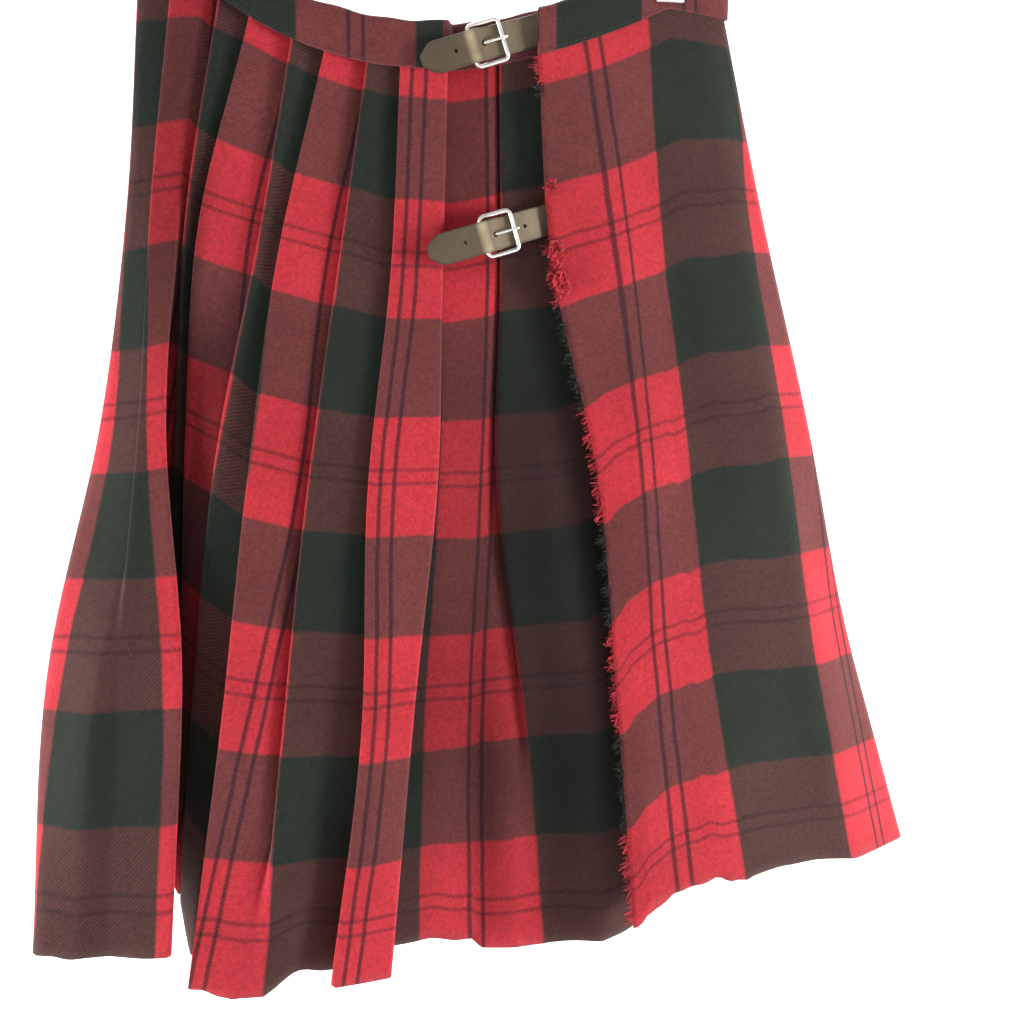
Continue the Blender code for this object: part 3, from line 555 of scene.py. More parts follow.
BACK_TUCKS = 14
BACK_MID = (24.0, 29.0, 36.0, 46.0, 54.0)  # y of the back between the sides
BACK_BOW = (1.7, 1.1, 0.7, 0.6, 0.6)  # how late it bows away from the side folds
BACK_OUT = 2.5  # every crease stands this far out from the bow
BACK_WAVE = (0.0, 1.5, 4.0, 7.0, 11.0)  # flute height
BACK_GAP = (5.6, 5.6, 6.5, 9.0, 12.0)  # from a crease to the cloth behind it
BACK_DEPTH = (20.0, 19.0, 17.0, 15.0, 13.0)  # of a tuck
BACK_LAY = (1.5, 2, 3, 4, 5)  # degrees that a tuck leans past its neighbour
BACK_SETT = 13.25  # the warp's place in its repeats at the right seam's first crease
SEAM_GAP = 0.3


def back_table():
    """Rows of the back's knife pleats, worked out between the two side seams."""
    rx, ry = APRON[-1][2], APRON[-1][3]
    lx, ly = FRONT[0][2], FRONT[0][3]

    def crease(k, level):
        f = min(1.0, (k + 0.55) / (BACK_TUCKS + 0.15))
        bow = max(0.0, math.sin(math.pi * f)) ** BACK_BOW[level]
        ends = ry[level] + (ly[level] - ry[level]) * f
        flute = BACK_WAVE[level] * (1.0 if k % 2 == 0 else -0.5)
        x = rx[level] + (lx[level] - rx[level]) * f
        return x, ends + (BACK_MID[level] - ends) * bow + BACK_OUT + flute

    rows = [("point", "seam right", [x - SEAM_GAP for x in rx], ry, BACK_SETT - 0.4, 3)]
    for k in range(BACK_TUCKS):
        last = k == BACK_TUCKS - 1
        columns = []
        for level in range(5):
            x, y = crease(k, level)
            after_x, after_y = (lx[level], ly[level]) if last else crease(k + 1, level)
            fall = y - after_y + (0.0 if last else BACK_GAP[level])
            lay = math.degrees(math.atan2(fall, x - after_x)) + BACK_LAY[level]
            columns.append((x, y, min(BACK_DEPTH[level], 0.85 * (x - after_x)), lay))
        xs, ys, depths, lays = zip(*columns)
        rows.append(("tuck", "back pleat %d" % k, xs, ys, BACK_SETT + 0.5 * k, depths, BACK_GAP, lays))
    rows.append(("point", "seam left", [x + SEAM_GAP for x in lx], ly, None, 3))
    return rows


BACK = back_table()
BACK_PICKS = [(-200, 0), (100, 0), (178, (0, 6, 8.5, 5, 6)), (200, (0, 6, 8.5, 5, 6))]
BACK_HANG = [(-196, 8, 0), (-150, 4, -2), (-110, 0, 0), (110, 0, 0), (150, 0, -3), (200, 0, -4)]
BACK_RIPPLES = [(x, v, 20, 100, height, lean) for x, v, height, lean in (
    (-190, 430, -1.6, -0.1), (-120, 300, 1.4, -0.06), (-60, 480, -1.8, -0.03), (0, 350, 1.5, 0.0),
    (70, 500, 1.8, 0.05), (130, 330, -1.5, 0.08), (210, 450, 1.7, 0.12))]
BACK_CUT = (SEAM_CUT, SEAM_CUT)
skirt_back = cloth_width("back_width", BACK, BACK_HANG, BACK_PICKS, BACK_RIPPLES, BACK_CUT, -1.0, SAG_BACK)
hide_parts("skirt_back")
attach(skirt_back, "root")

# --- waistband --------------------------------------------
# A strip of the same wool cut along a green stripe of the weft, folded over the skirt's top edge in
# three matching lengths and stitched along its lower edge through all the layers.

BAND_HEIGHT = 29.0
BAND_FACE = 2.7  # cloth's middle to the band's face
BAND_STEP = 4.0
BAND_WEFT = 0.37  # the green weft stripe runs along the band
BAND_ROUND = 2.6  # of the fold along its top
BAND_BULGE, BAND_WAVE = 0.35, 0.25  # how far the wool stands out between its edges, evenly and in waves
BULGE_FROM, BULGE_SPAN = 3.0, 24.0  # over this stretch of its height
BAND_RISE = 0.45  # waves of its top edge
STITCHES_UP, STITCHES_OUT = 2.1, 0.12  # the row of sewing above its lower edge and off its face
FRONT_STATIONS = (-184, -172, -160, *range(-146, -62, 14), -60, -44, -30, -16, -4, 1.7, 6.5, 16, 32, 48, 60,
                  78, 95, 112, 138.6, 139.6)
BACK_STATIONS = (173, 166, 156, 146, 136, 122, 108, *range(92, -120, -16), -132, -146, -156, -165, -171)
# place in x, place in the warp's repeat
FRONT_BAND_MARKS = [(-196, -1.0), (-137, -0.75), (-93, -0.25), (-19, 0.25), (-4, 0.37), (-3.9, 0.80),
                    (60, 1.2), (140, 1.77)]
APRON_BAND_MARKS = [(55, 0.10), (71, 0.25), (129, 0.75), (190, 1.2)]
BACK_BAND_MARKS = [(-200, 2.6), (200, 5.4)]


def envelope(line, first, second):
    """Least and greatest y of a plan line between two x."""
    left, right = min(first, second), max(first, second)
    ys = []
    for p, q in zip(line, line[1:]):
        a, b = max(min(p.x, q.x), left), min(max(p.x, q.x), right)
        if a > b:
            continue
        for x in (a, b):
            f = (x - p.x) / (q.x - p.x) if abs(q.x - p.x) > 1e-6 else 0.0
            ys.append(p.y + (q.y - p.y) * f)
    return min(ys), max(ys)


def read_marks(marks, x):
    """The warp's place in its repeat at x."""
    first, second, f = between(marks, x)
    return first[1] + (second[1] - first[1]) * f


def through(points, step):
    """Catmull-Rom curve through points of any dimension, with a point about every step."""
    points = [Vector(p) for p in points]
    out = []
    last = len(points) - 1
    for i in range(last):
        p0, p1, p2, p3 = points[max(0, i - 1)], points[i], points[i + 1], points[min(last, i + 2)]
        spans = max(1, math.ceil((p2 - p1).length / step))
        for k in range(spans):
            t = k / spans
            out.append(p1 + (p2 - p0) * (0.5 * t) + (p0 * 2 - p1 * 5 + p2 * 4 - p3) * (0.5 * t * t)
                       + (p1 * 3 - p0 - p2 * 3 + p3) * (0.5 * t * t * t))
    out.append(points[-1])
    return out


def band_profile(wide, inset):
    """Outline of the folded band seen end on: up its face, over the top, down its back."""
    top, r = BAND_HEIGHT - inset, max(0.4, min(BAND_ROUND, wide / 2) - inset)
    half = [(inset, h * (top - r)) for h in (0.0, 0.04, 0.12, 0.3, 0.5, 0.7, 0.9, 1.0)]
    half += [(inset + r * (1 - math.cos(a)), top - r + r * math.sin(a)) for a in (0.4, 0.8, 1.2, 1.57)]
    roof = (wide * 0.5, top + (0.0 if inset else 0.3))
    return half + [roof] + [(wide - d, h) for d, h in reversed(half)]


def waistband(name, stations, marks, sag):
    """A closed folded strip over stations (outer x, y, inner x, y), and the line of its sewing."""
    verts, uvs, stitch_line = [], [], []
    fine = through(stations, BAND_STEP)
    for s in fine:
        out, back = Vector(s[:2]), Vector(s[2:])
        mid = (out + back) / 2
        wide = (back - out).length
        across = (back - out).normalized()
        seam = seam_height(mid.x, sag)
        mark = read_marks(marks, mid.x)
        ring = band_profile(wide, 0.0) + band_profile(wide, WALL)[::-1]
        for d, h in ring:
            up = h / BAND_HEIGHT
            full = math.sin(math.pi * min(1.0, max(0.0, (h - BULGE_FROM) / BULGE_SPAN)))
            wave = math.sin(mid.x * 0.21 + 3.0 * up) + 0.6 * math.sin(mid.x * 0.093 + 1.0)
            push = full * (BAND_BULGE + BAND_WAVE * wave) * (1 if d < wide / 2 else -1)
            p = out + across * (d - push)
            verts.append((p.x, p.y, seam + h + BAND_RISE * up * wave))
            uvs.append((mark, BAND_WEFT + h / SETT + (0.0 if d < 3.0 else 0.03)))
        face = out - across * STITCHES_OUT
        stitch_line.append((face.x, face.y, seam + STITCHES_UP))
    faces = ring_faces(len(fine), len(ring)) + wall_ends(len(fine), len(ring))
    return closed_mesh(name, verts, faces, uvs, tartan), stitch_line


def top_line(table, facing, cut):
    return trimmed(soft_line(fold_corners(table, 0.0, facing), leg_counts(table, facing)), *cut)


def stations_along(line):
    """A band station at each point of a smooth plan line."""
    outer, inner = offset_line(line, -BAND_FACE), offset_line(line, BAND_FACE)
    return [(o.x, o.y, i.x, i.y) for o, i in zip(outer, inner)]


def stations_beside(line, places, facing, skip=0):
    """Band stations on the envelope of a plan line with tucks, window by window."""
    out = []
    last = len(places) - 1
    for k in range(skip, len(places) - skip):
        lo, hi = envelope(line, places[max(0, k - 1)], places[min(last, k + 1)])
        near, far = (lo - BAND_FACE, hi + BAND_FACE) if facing > 0 else (hi + BAND_FACE, lo - BAND_FACE)
        out.append((places[k], near, places[k], far))
    return out


# The band follows the plain cloth point by point; over tucks it goes straight, outside their layers.
front_top = top_line(FRONT, 1.0, FRONT_CUT)
side_part = [p for p in range(12) if front_top[p].x > -189.5]
front_stations = [stations_along(front_top)[p] for p in side_part[:9:2]]
front_stations += stations_beside(front_top[len(side_part):], FRONT_STATIONS, 1.0, skip=1)
apron_stations = stations_along(top_line(APRON, 1.0, APRON_CUT))[::2]
back_stations = stations_beside(top_line(BACK, -1.0, BACK_CUT), BACK_STATIONS, -1.0)

bands = []
for tag, stations, marks, sag in (("front", front_stations, FRONT_BAND_MARKS, SAG_FRONT),
                                  ("apron", apron_stations, APRON_BAND_MARKS, SAG_FRONT),
                                  ("back", back_stations, BACK_BAND_MARKS, SAG_BACK)):
    band, line = waistband("band_" + tag, stations, marks, sag)
    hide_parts("waistband_" + tag)
    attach(band, "root")
    bands.append((tag, band, line))

# --- sewing of the waistband ------------------------------
# One row of lockstitch in waxed dark thread, just above the band's lower edge.  It holds the band's two
# faces and the pleats between them.


class Tree(Layout):
    """A geometry tree with named inputs."""

    def __init__(self, name, inputs):
        self.tree = bpy.data.node_groups.new(name, "GeometryNodeTree")
        self.values, self.keys = inputs, {}
        socket = self.tree.interface.new_socket
        socket("Geometry", in_out="INPUT", socket_type="NodeSocketGeometry")
        for label, value in inputs.items():
            kind = "NodeSocketInt" if isinstance(value, int) else "NodeSocketFloat"
            self.keys[label] = socket(label, in_out="INPUT", socket_type=kind).identifier
        socket("Geometry", in_out="OUTPUT", socket_type="NodeSocketGeometry")
        self.start = self.tree.nodes.new("NodeGroupInput").outputs
        self.end = self.tree.nodes.new("NodeGroupOutput").inputs

    def finish(self, geometry, material):
        real = self.first("GeometryNodeRealizeInstances", {0: geometry})
        self.join(self.first("GeometryNodeSetMaterial", {0: real, "Material": material}), self.end[0])

    def grow(self, name, source, **changes):
        """Run the tree on a source object and keep the result as a plain mesh."""
        mod = source.modifiers.new(name, "NODES")
        mod.node_group = self.tree
        for label, value in {**self.values, **changes}.items():
            mod[self.keys[label]] = value
        graph = bpy.context.evaluated_depsgraph_get()
        mesh = bpy.data.meshes.new_from_object(source.evaluated_get(graph))
        mesh.name = name
        source.modifiers.remove(mod)
        bpy.data.objects.remove(source)
        smooth_faces(mesh)
        return shown(name, mesh)


def path_object(points, **attributes):
    """An open path of points in mm, with a value or a direction at each."""
    mesh = bpy.data.meshes.new("path")
    mesh.from_pydata([Vector(p) * MM for p in points], [(i, i + 1) for i in range(len(points) - 1)], [])
    for label, values in attributes.items():
        if isinstance(values[0], float):
            mesh.attributes.new(label, "FLOAT", "POINT").data.foreach_set("value", values)
        else:
            flat = [c for v in values for c in v]
            mesh.attributes.new(label, "FLOAT_VECTOR", "POINT").data.foreach_set("vector", flat)
    return shown("path", mesh)


def sewing_thread():
    """Waxed dark thread with a twist."""
    n = Finish("sewing_thread")
    fleck = n.noise(2500.0, 2.0, n.place())
    n.set(Base_Color=n.mix(fleck, (0.030, 0.016, 0.016), (0.075, 0.045, 0.042)), Roughness=0.8)
    n.bump(fleck, 0.0001, 0.5)
    return n.material


def stitch_tree(material):
    """Stitches laid end to end along a path."""
    tree = Tree("stitches", {"Length": 0.0022, "Pitch": 0.0031, "Thread": 0.00024})
    start = tree.start
    curve = tree.first("GeometryNodeMeshToCurve", {0: start[0]})
    even = tree.first("GeometryNodeResampleCurve", {"Curve": curve, "Length": start["Pitch"]}, mode="LENGTH")
    bead = tree.first("GeometryNodeMeshUVSphere", {"Segments": 8, "Rings": 5, "Radius": 1.0})
    half = tree.math("MULTIPLY", start["Length"], 0.5)
    size = tree.first("ShaderNodeCombineXYZ", {0: start["Thread"], 1: start["Thread"], 2: half})
    along = tree.first("GeometryNodeInputTangent")
    turn = tree.first("FunctionNodeAlignEulerToVector", {"Vector": along}, axis="Z")
    inputs = {"Points": even, "Instance": bead, "Rotation": turn, "Scale": size}
    tree.finish(tree.first("GeometryNodeInstanceOnPoints", inputs), material)
    return tree


stitching = stitch_tree(sewing_thread())
for tag, band, line in bands:
    row = stitching.grow("band_stitches_" + tag, path_object(through(line, 2.0)))
    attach(row, "root")

# --- fringe of the apron ----------------------------------
# The apron's cut edge is ravelled: its warp ends are drawn out and the weft yarns stand free, matted
# and coloured as the weft stripes are.  Two places have worked loose into curly tufts.

STRAND = 7.0  # how far the ravelled yarns reach
STRAP_FROM, STRAP_TO = 92.0, 114.0  # the lower strap comes out here
WORN_TO = 26.0  # longer yarns again below the waistband


def yarn_fluff():
    """Loose wool yarn, red or green by its place in the weft."""
    n = Finish("fringe_yarn")
    green, line = stripe_masks(n, n.attribute("weft"), GREEN_FRINGE)
    colour = n.mix(line, n.mix(green, RED, GREEN), NAVY)
    colour = n.tint(colour, n.attribute("shade"), 0.0, 1.0, 0.6, 1.5)
    n.set(Base_Color=colour, Roughness=0.95, Specular_IOR_Level=0.1, Sheen_Weight=0.08, Sheen_Roughness=0.6)
    return n.material


def fringe_tree(name, bend_kind, bend_inputs, material):
    """Yarns on a path: each a thin bent tube, turned, sized and matted by the seeds."""
    tree = Tree(name, {"Strand": STRAND * MM, "Yarn": 0.0003, "Spread": 0.55, "Curl": 0.0022, "Seed": 3})
    start = tree.start
    random = "FunctionNodeRandomValue"
    points = tree.first("GeometryNodeMeshToPoints", {0: start[0]})
    shade = tree.add(random, {"Seed": start["Seed"]}, data_type="FLOAT").outputs[1]
    marked = tree.first("GeometryNodeStoreNamedAttribute", {0: points, "Name": "shade", "Value": shade},
                        data_type="FLOAT", domain="POINT")
    bend = tree.first(bend_kind, bend_inputs)
    ring = tree.first("GeometryNodeCurvePrimitiveCircle", {"Resolution": 3, "Radius": 1.0}, mode="RADIUS")
    thin = tree.math("DIVIDE", start["Yarn"], start["Strand"])
    thin = tree.first("ShaderNodeCombineXYZ", {0: thin, 1: thin, 2: 1.0})
    ring = tree.first("GeometryNodeTransform", {0: ring, "Scale": thin})
    yarn = tree.first("GeometryNodeCurveToMesh", {0: bend, 1: ring, "Fill Caps": True})
    way = tree.first("GeometryNodeInputNamedAttribute", {"Name": "way"}, data_type="FLOAT_VECTOR")
    wild = tree.first(random, {"Min": (-1, -1, -1), "Max": (1, 1, 1), "Seed": start["Seed"]},
                      data_type="FLOAT_VECTOR")
    wild = tree.first("ShaderNodeVectorMath", {0: wild, "Scale": start["Spread"]}, operation="SCALE")
    heading = tree.first("ShaderNodeVectorMath", {0: way, 1: wild}, operation="ADD")
    turn = tree.first("FunctionNodeAlignEulerToVector", {"Vector": heading}, axis="Z")
    long = tree.first("GeometryNodeInputNamedAttribute", {"Name": "long"}, data_type="FLOAT")
    uneven = tree.add(random, {2: 0.55, 3: 1.15, "Seed": 11}, data_type="FLOAT").outputs[1]
    size = tree.math("MULTIPLY", tree.math("MULTIPLY", long, uneven), start["Strand"])
    inputs = {"Points": marked, "Instance": yarn, "Rotation": turn, "Scale": size}
    placed = tree.first("GeometryNodeInstanceOnPoints", inputs)
    real = tree.first("GeometryNodeRealizeInstances", {0: placed})
    where = tree.first("GeometryNodeInputPosition")
    mat = tree.add("ShaderNodeTexNoise", {"Vector": where, "Scale": 260.0, "Detail": 1.0}).outputs["Color"]
    centred = tree.first("ShaderNodeVectorMath", {0: mat, 1: (0.5, 0.5, 0.5)}, operation="SUBTRACT")
    push = tree.first("ShaderNodeVectorMath", {0: centred, "Scale": start["Curl"]}, operation="SCALE")
    tree.finish(tree.first("GeometryNodeSetPosition", {0: real, "Offset": push}), material)
    return tree


def apron_edge(v):
    """A point on the apron's ravelled edge in mm, the way out from it, and the way to the front."""
    a, b = fold_corners(APRON, v, 1.0)[:2]
    into = Vector((b[0] - a[0], b[1] - a[1], 0.0)).normalized()
    y = a[1] - ripple(APRON_RIPPLES, a[0], v)
    z = seam_height(APRON[0][2][0], SAG_FRONT) - v
    return Vector((a[0], y, z)), -into, Vector((into.y, -into.x, 0.0))


def fringe_strip(tree, name, first, last, spacing, forward, droop, tuft, **settings):
    """A run of ravelled yarns down the apron's edge from depth first to last."""
    points, ways, longs, wefts = [], [], [], []
    v = first
    while v < last:
        if tuft or not STRAP_FROM < v < STRAP_TO:
            p, out, front = apron_edge(v)
            lap = math.sin(v * 2.1) * 0.35
            rooted = 0.6 + 0.8 * abs(math.sin(v * 5.3)) + (3.2 + 2.6 * math.sin(v * 3.7)) * tuft
            points.append(p + front * (forward + lap) - out * rooted)
            ways.append(out + front * (0.12 * math.sin(v * 0.9) + 0.5 * tuft) - Vector((0, 0, droop)))
            clump = 0.82 + 0.22 * math.sin(v * 0.37) + 0.16 * math.sin(v * 1.31)
            short = 0.35 if WORN_TO < v < STRAP_FROM and not tuft else 1.0
            longs.append(short * clump * min(1.0, 0.45 + (v - first) / 8.0, 0.45 + (last - v) / 8.0))
            wefts.append(0.9 if tuft else WEFT_START + v / SETT)
        v += spacing
    ob = tree.grow(name, path_object(points, way=ways, long=longs, weft=wefts), **settings)
    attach(ob, "root")
    return ob


fluff = yarn_fluff()
BENT = {"Resolution": 6, "Start": (0, 0, 0), "Middle": (0.0, 0.12, 0.55), "End": (0.0, -0.1, 1.0)}
CURLED = {"Resolution": 14, "Rotations": 1.3, "Start Radius": 0.10, "End Radius": 0.30, "Height": 0.9}
fringe = fringe_tree("fringe", "GeometryNodeCurveQuadraticBezier", BENT, fluff)
curls = fringe_tree("curls", "GeometryNodeCurveSpiral", CURLED, fluff)
edge_fringe = fringe_strip(fringe, "apron_fringe_yarns", 0.5, LENGTH - 1.0, 0.42, 0.0, 0.35, 0)
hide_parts("apron_fringe")
for name, first, last, spacing, forward, droop, strand, seed in (
        ("tuft_below_strap", 117.0, 153.0, 0.24, 2.4, 0.1, 0.0078, 8),
        ("tuft_above_strap", 78.0, 88.0, 0.30, 1.6, 0.0, 0.0060, 5)):
    fringe_strip(curls, name, first, last, spacing, forward, droop, 1, Strand=strand,
                                     Seed=seed, Curl=0.004, Spread=1.2, Yarn=0.00055)

# --- straps and buckles -----------------------------------
# Two straps of dark brown bridle leather, sewn under the apron's edge.  Each passes under the buckle's
# outer bar, over its hinge bar and on to a pointed end; a leather tab sewn to the front holds the
# buckle by its hinge bar.  Frames and prongs are bent from nickel plated wire.

STRAP_HALF, STRAP_THICK = 10.0, 2.2
TAB_HALF, TAB_THICK = 8.0, 1.0
HINGE_S, HINGE_N, WIRE = -10.3, 1.9, 1.2
FRAME_LONG, FRAME_WIDE, FRAME_ROUND = 11.5, 13.9, 3.0  # half sizes of a frame, and its corners
FRAME_N, FRAME_TIP = 2.95, 1.05  # height of a frame's middle, and how far its bars tip from it
PRONG_RADIUS, HOLE = 0.75, 1.25
LEATHER_STEP = 1.1
LEATHER_ROUND, LEATHER_SUNK = 0.55, 0.12  # a strip's rounded edges, and the dip between them
LEATHER_UNIT = 20.0  # length of strip to one unit of its map
# points (s, n): the strap over the hinge bar and under the outer one, and the prong round the hinge bar
OVER_BARS = [(-22, 3.3), (-15, 5.0), (-10.5, 5.9), (-6.5, 5.1), (0, 2.6), (6, 1.5), (12, 1.0)]
PRONG_BENDS = [(-7.2, 1.9), (-5.6, 1.5), (-4.0, 1.6), (-3.2, 2.6), (-2.8, 4.8), (-1.4, 6.0), (12.3, 6.4)]


class Fastening:
    """Frame on the cloth: s along the strap (tip negative), w across it, n outward."""

    def __init__(self, centre, slope, yaw):
        a, b = math.radians(slope), math.radians(yaw)
        self.c = Vector(centre)
        self.s = Vector((math.cos(a) * math.cos(b), math.cos(a) * math.sin(b), math.sin(a)))
        out = Vector((0.0, -1.0, 0.0))
        self.n = (out - self.s * out.dot(self.s)).normalized()
        self.w = self.n.cross(self.s).normalized()
        if self.w.z < 0:
            self.w = -self.w

    def at(self, s, w, n):
        return self.c + self.s * s + self.w * w + self.n * n


def strap_leather():
    """Waxed leather: fine grain, burnished edges, worn patches, lighter towards the buckle end, and a painted
    highlight where it bends over the buckle's bar.
    """
    n = Finish("strap_leather")
    body = n.place()
    place = n.add("ShaderNodeSeparateXYZ", {0: n.place("UV")}).outputs
    grain = n.first("ShaderNodeTexVoronoi", {"Vector": body, "Scale": 900.0}, feature="DISTANCE_TO_EDGE")
    cloud = n.noise(60.0, 4.0, body)
    scuff = n.spread(n.noise(240.0, 3.0, body), 0.62, 0.78)
    colour = n.mix(cloud, (0.042, 0.032, 0.021), (0.088, 0.066, 0.045))
    # lighter towards the buckle end
    colour = n.mix(n.spread(place[0], -1.4, 0.4, 0.0, 0.55), colour, (0.185, 0.142, 0.095))
    # painted highlight: a pale cream band where the strap bends up over the buckle's bar, a little mottled
    bend = n.math("ABSOLUTE", n.math("ADD", place[0], 0.55))
    painted_glint = n.math("MULTIPLY", n.spread(bend, 0.04, 0.2, 1.0, 0.0), n.spread(cloud, 0.3, 0.7, 0.45, 1.0))
    edge = n.spread(n.math("ABSOLUTE", place[1]), 0.80, 1.0)
    # mixed in: the painted highlight, the dark burnished edges and the lighter worn scuffs
    for wear_and_glint, share, shade in ((painted_glint, 0.7, (0.60, 0.50, 0.34)), (edge, 0.6, (0.016, 0.011, 0.007)),
                               (scuff, 0.35, (0.15, 0.12, 0.09))):
        colour = n.mix(n.math("MULTIPLY", wear_and_glint, share), colour, shade)
    rough = n.spread(n.math("ADD", cloud, scuff), 0.3, 1.4, 0.40, 0.62)
    n.set(Base_Color=colour, Roughness=rough, Specular_IOR_Level=0.5, Specular_Tint=(1.0, 0.86, 0.66))
    n.set(Coat_Weight=0.12, Coat_Roughness=0.32, Coat_Tint=(1.0, 0.9, 0.75))
    n.bump(n.math("ADD", n.spread(grain, 0.0, 0.25), n.math("MULTIPLY", cloud, 0.8)), 0.00016, 0.5)
    return n.material


def mottled(name, scale, first, second, smooth, rough, grain_scale, grain, strength, **settings):
    """A hard finish that drifts between two colours and two roughnesses, with a fine grain."""
    n = Finish(name)
    body = n.place()
    cloud = n.noise(scale, 3.0, body)
    colour = n.mix(cloud, first, second)
    n.set(Base_Color=colour, Roughness=n.spread(cloud, 0.3, 0.7, smooth, rough), **settings)
    n.bump(n.noise(grain_scale, 2.0, body) if grain_scale else cloud, grain, strength)
    return n.material


def tip_width(s, tip):
    """Half width of the strap, drawn in to a blunt point over its last stretch."""
    into = s + tip
    return min(STRAP_HALF, 3.4 + 0.85 * into) - 0.5 * math.exp(-(((into - 7.8) / 2.0) ** 2))


def strip(name, fr, path, half_at, thick, material):
    """A leather strip along (s, n) points, its edges rounded in section."""
    line = through(path, LEATHER_STEP)
    tops, lows = offset_line(line, thick / 2), offset_line(line, -thick / 2)
    round_off = min(LEATHER_ROUND, thick * 0.3)
    verts, uvs = [], []
    for p, top, low in zip(line, tops, lows):
        w = half_at(p.x)
        flat = w - round_off
        section = [(1, -flat), (1, -w * 0.82), (1, 0.0), (1, w * 0.82), (1, flat), (0.6, w), (-0.6, w),
                   (-1, flat), (-1, 0.0), (-1, -flat), (-0.6, -w), (0.6, -w)]
        for side, across in section:
            dip = LEATHER_SUNK if side == 1 and abs(across) < w * 0.8 else 0.0
            s, n = low.lerp(top, (1 + side) / 2)
            verts.append(fr.at(s, across, n + dip))
            uvs.append((p.x / LEATHER_UNIT, across / max(w, 0.1)))
    faces = ring_faces(len(line), len(section)) + end_faces(len(line), len(section))
    return closed_mesh(name, verts, faces, uvs, material)


def end_faces(rings, m):
    """Flat faces over the first and last ring of a solid run."""
    return [tuple(range(m)), tuple(range((rings - 1) * m, rings * m))]


def rod(name, path, radius, material, sides=14, closed=False, flat_ends=False):
    """Bent wire along a path in mm, with domed ends when it is open."""
    pts = [Vector(p) for p in path]
    n = len(pts)
    rings = []
    for i, p in enumerate(pts):
        a = pts[i - 1] if (i or closed) else p
        b = pts[(i + 1) % n] if (i < n - 1 or closed) else p
        rings.append((p, (b - a).normalized(), radius))
    if not closed and not flat_ends:
        head, tail = rings[0], rings[-1]
        for turn in (0.5, 1.0, 1.4):
            rise, dome = math.sin(turn), radius * math.cos(turn)
            rings.insert(0, (head[0] - head[1] * radius * rise, head[1], dome))
            rings.append((tail[0] + tail[1] * radius * rise, tail[1], dome))
    verts = []
    side = Vector((0.13, 0.97, 0.21)).normalized()
    for p, t, r in rings:
        side = (side - t * side.dot(t)).normalized()
        other = t.cross(side)
        turns = [2 * math.pi * k / sides for k in range(sides)]
        verts += [p + (side * math.cos(a) + other * math.sin(a)) * r for a in turns]
    faces = ring_faces(len(rings), sides, closed)
    if not closed:
        faces += end_faces(len(rings), sides)
    return closed_mesh(name, verts, faces, None, material)


DRILL_REACH = 5.0
SHARP = math.radians(35.0)


def punched(ob, fr, holes):
    """Cut round holes through a strap, each (s, n, radius)."""
    for s, n, radius in holes:
        ends = [fr.at(s, 0.0, n - DRILL_REACH), fr.at(s, 0.0, n + DRILL_REACH)]
        drill = rod("drill", ends, radius, None, 20, flat_ends=True)
        cut = ob.modifiers.new("hole", "BOOLEAN")
        cut.operation, cut.solver, cut.object = "DIFFERENCE", "EXACT", drill
        graph = bpy.context.evaluated_depsgraph_get()
        mesh = bpy.data.meshes.new_from_object(ob.evaluated_get(graph))
        ob.modifiers.remove(cut)
        ob.data = mesh
        bpy.data.objects.remove(drill)
    ob.data.set_sharp_from_angle(angle=SHARP)


def fasten(tag, centre, slope, yaw, tip, root, tab_end, holes):
    """One strap with its buckle frame, prong and tab."""
    fr = Fastening(centre, slope, yaw)
    path = [(-tip, 3.2), (-tip + 5, 3.2)] + OVER_BARS + root
    strap = strip("strap_leather_" + tag, fr, path, lambda s: tip_width(s, tip), STRAP_THICK, leather)
    punched(strap, fr, holes)
    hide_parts("strap_" + tag)
    w, l, r = FRAME_WIDE - WIRE, FRAME_LONG - WIRE, FRAME_ROUND
    ring = []
    for cs, cw, a0 in ((l - r, w - r, 0), (-l + r, w - r, 90), (-l + r, -w + r, 180), (l - r, -w + r, 270)):
        for k in range(8):
            a = math.radians(a0 + 90 * k / 7)
            s = cs + r * math.cos(a)
            ring.append(fr.at(s, cw + r * math.sin(a), FRAME_N + FRAME_TIP * s / l))
    frame_wire = rod("buckle_frame_" + tag, ring, WIRE + 0.25, plate, closed=True)
    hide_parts("buckle_" + tag)
    prong_path = [fr.at(p.x, 0.0, p.y) for p in through(PRONG_BENDS, 0.9)]
    prong = rod("buckle_prong_" + tag, prong_path, PRONG_RADIUS, plate, 10)
    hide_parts("prong_" + tag)
    reach = WIRE + 0.3 + TAB_THICK / 2
    loop = [tab_end, (-15.0, 0.5)]
    for a in (math.radians(turn) for turn in (-100, -60, -20, 20, 60, 95)):
        loop.append((HINGE_S + reach * math.cos(a), HINGE_N + reach * math.sin(a)))
    tab = strip("buckle_tab_" + tag, fr, loop, lambda s: TAB_HALF, TAB_THICK, leather)
    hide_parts("tab_" + tag)
    for piece in (strap, tab, frame_wire, prong):
        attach(piece, "root")


leather = strap_leather()
plate = mottled("buckle_metal", 420.0, (0.96, 0.95, 0.93), (0.84, 0.83, 0.80), 0.24, 0.40, None, 0.00004, 0.4,
                Metallic=1.0)
fasten("upper", (26.0, -17.9, -181.0), 18.0, 6.0, 45.0, [(20, -0.6), (28, -1.9), (33, -2.2), (46, -0.9)],
       (-32.0, 0.5), [(-3.0, 3.5, 1.8), (-22.0, 3.3, HOLE)])
fasten("lower", (31.5, -26.0, -299.0), 16.0, 8.0, 49.0, [(20, -0.2), (28, -2.6), (36, -4.2), (48, -0.7)],
       (-32.0, -3.1), [(-3.0, 3.5, 1.8), (-24.0, 3.3, HOLE), (19.0, 0.3, HOLE)])

# --- clip hanger ------------------------------------------
# A bar of white moulded plastic with two spring clips on it that pinch the waistband, and a hook of bent
# zinc plated wire, screwed into the bar's middle.

BAR_Z, BAR_RADIUS, BAR_HALF = -96.0, 4.0, 172.0
BAR_SPANS = 40
HOOK_Z, HOOK_RADIUS, HOOK_WIRE = -18.2, 20.0, 1.9

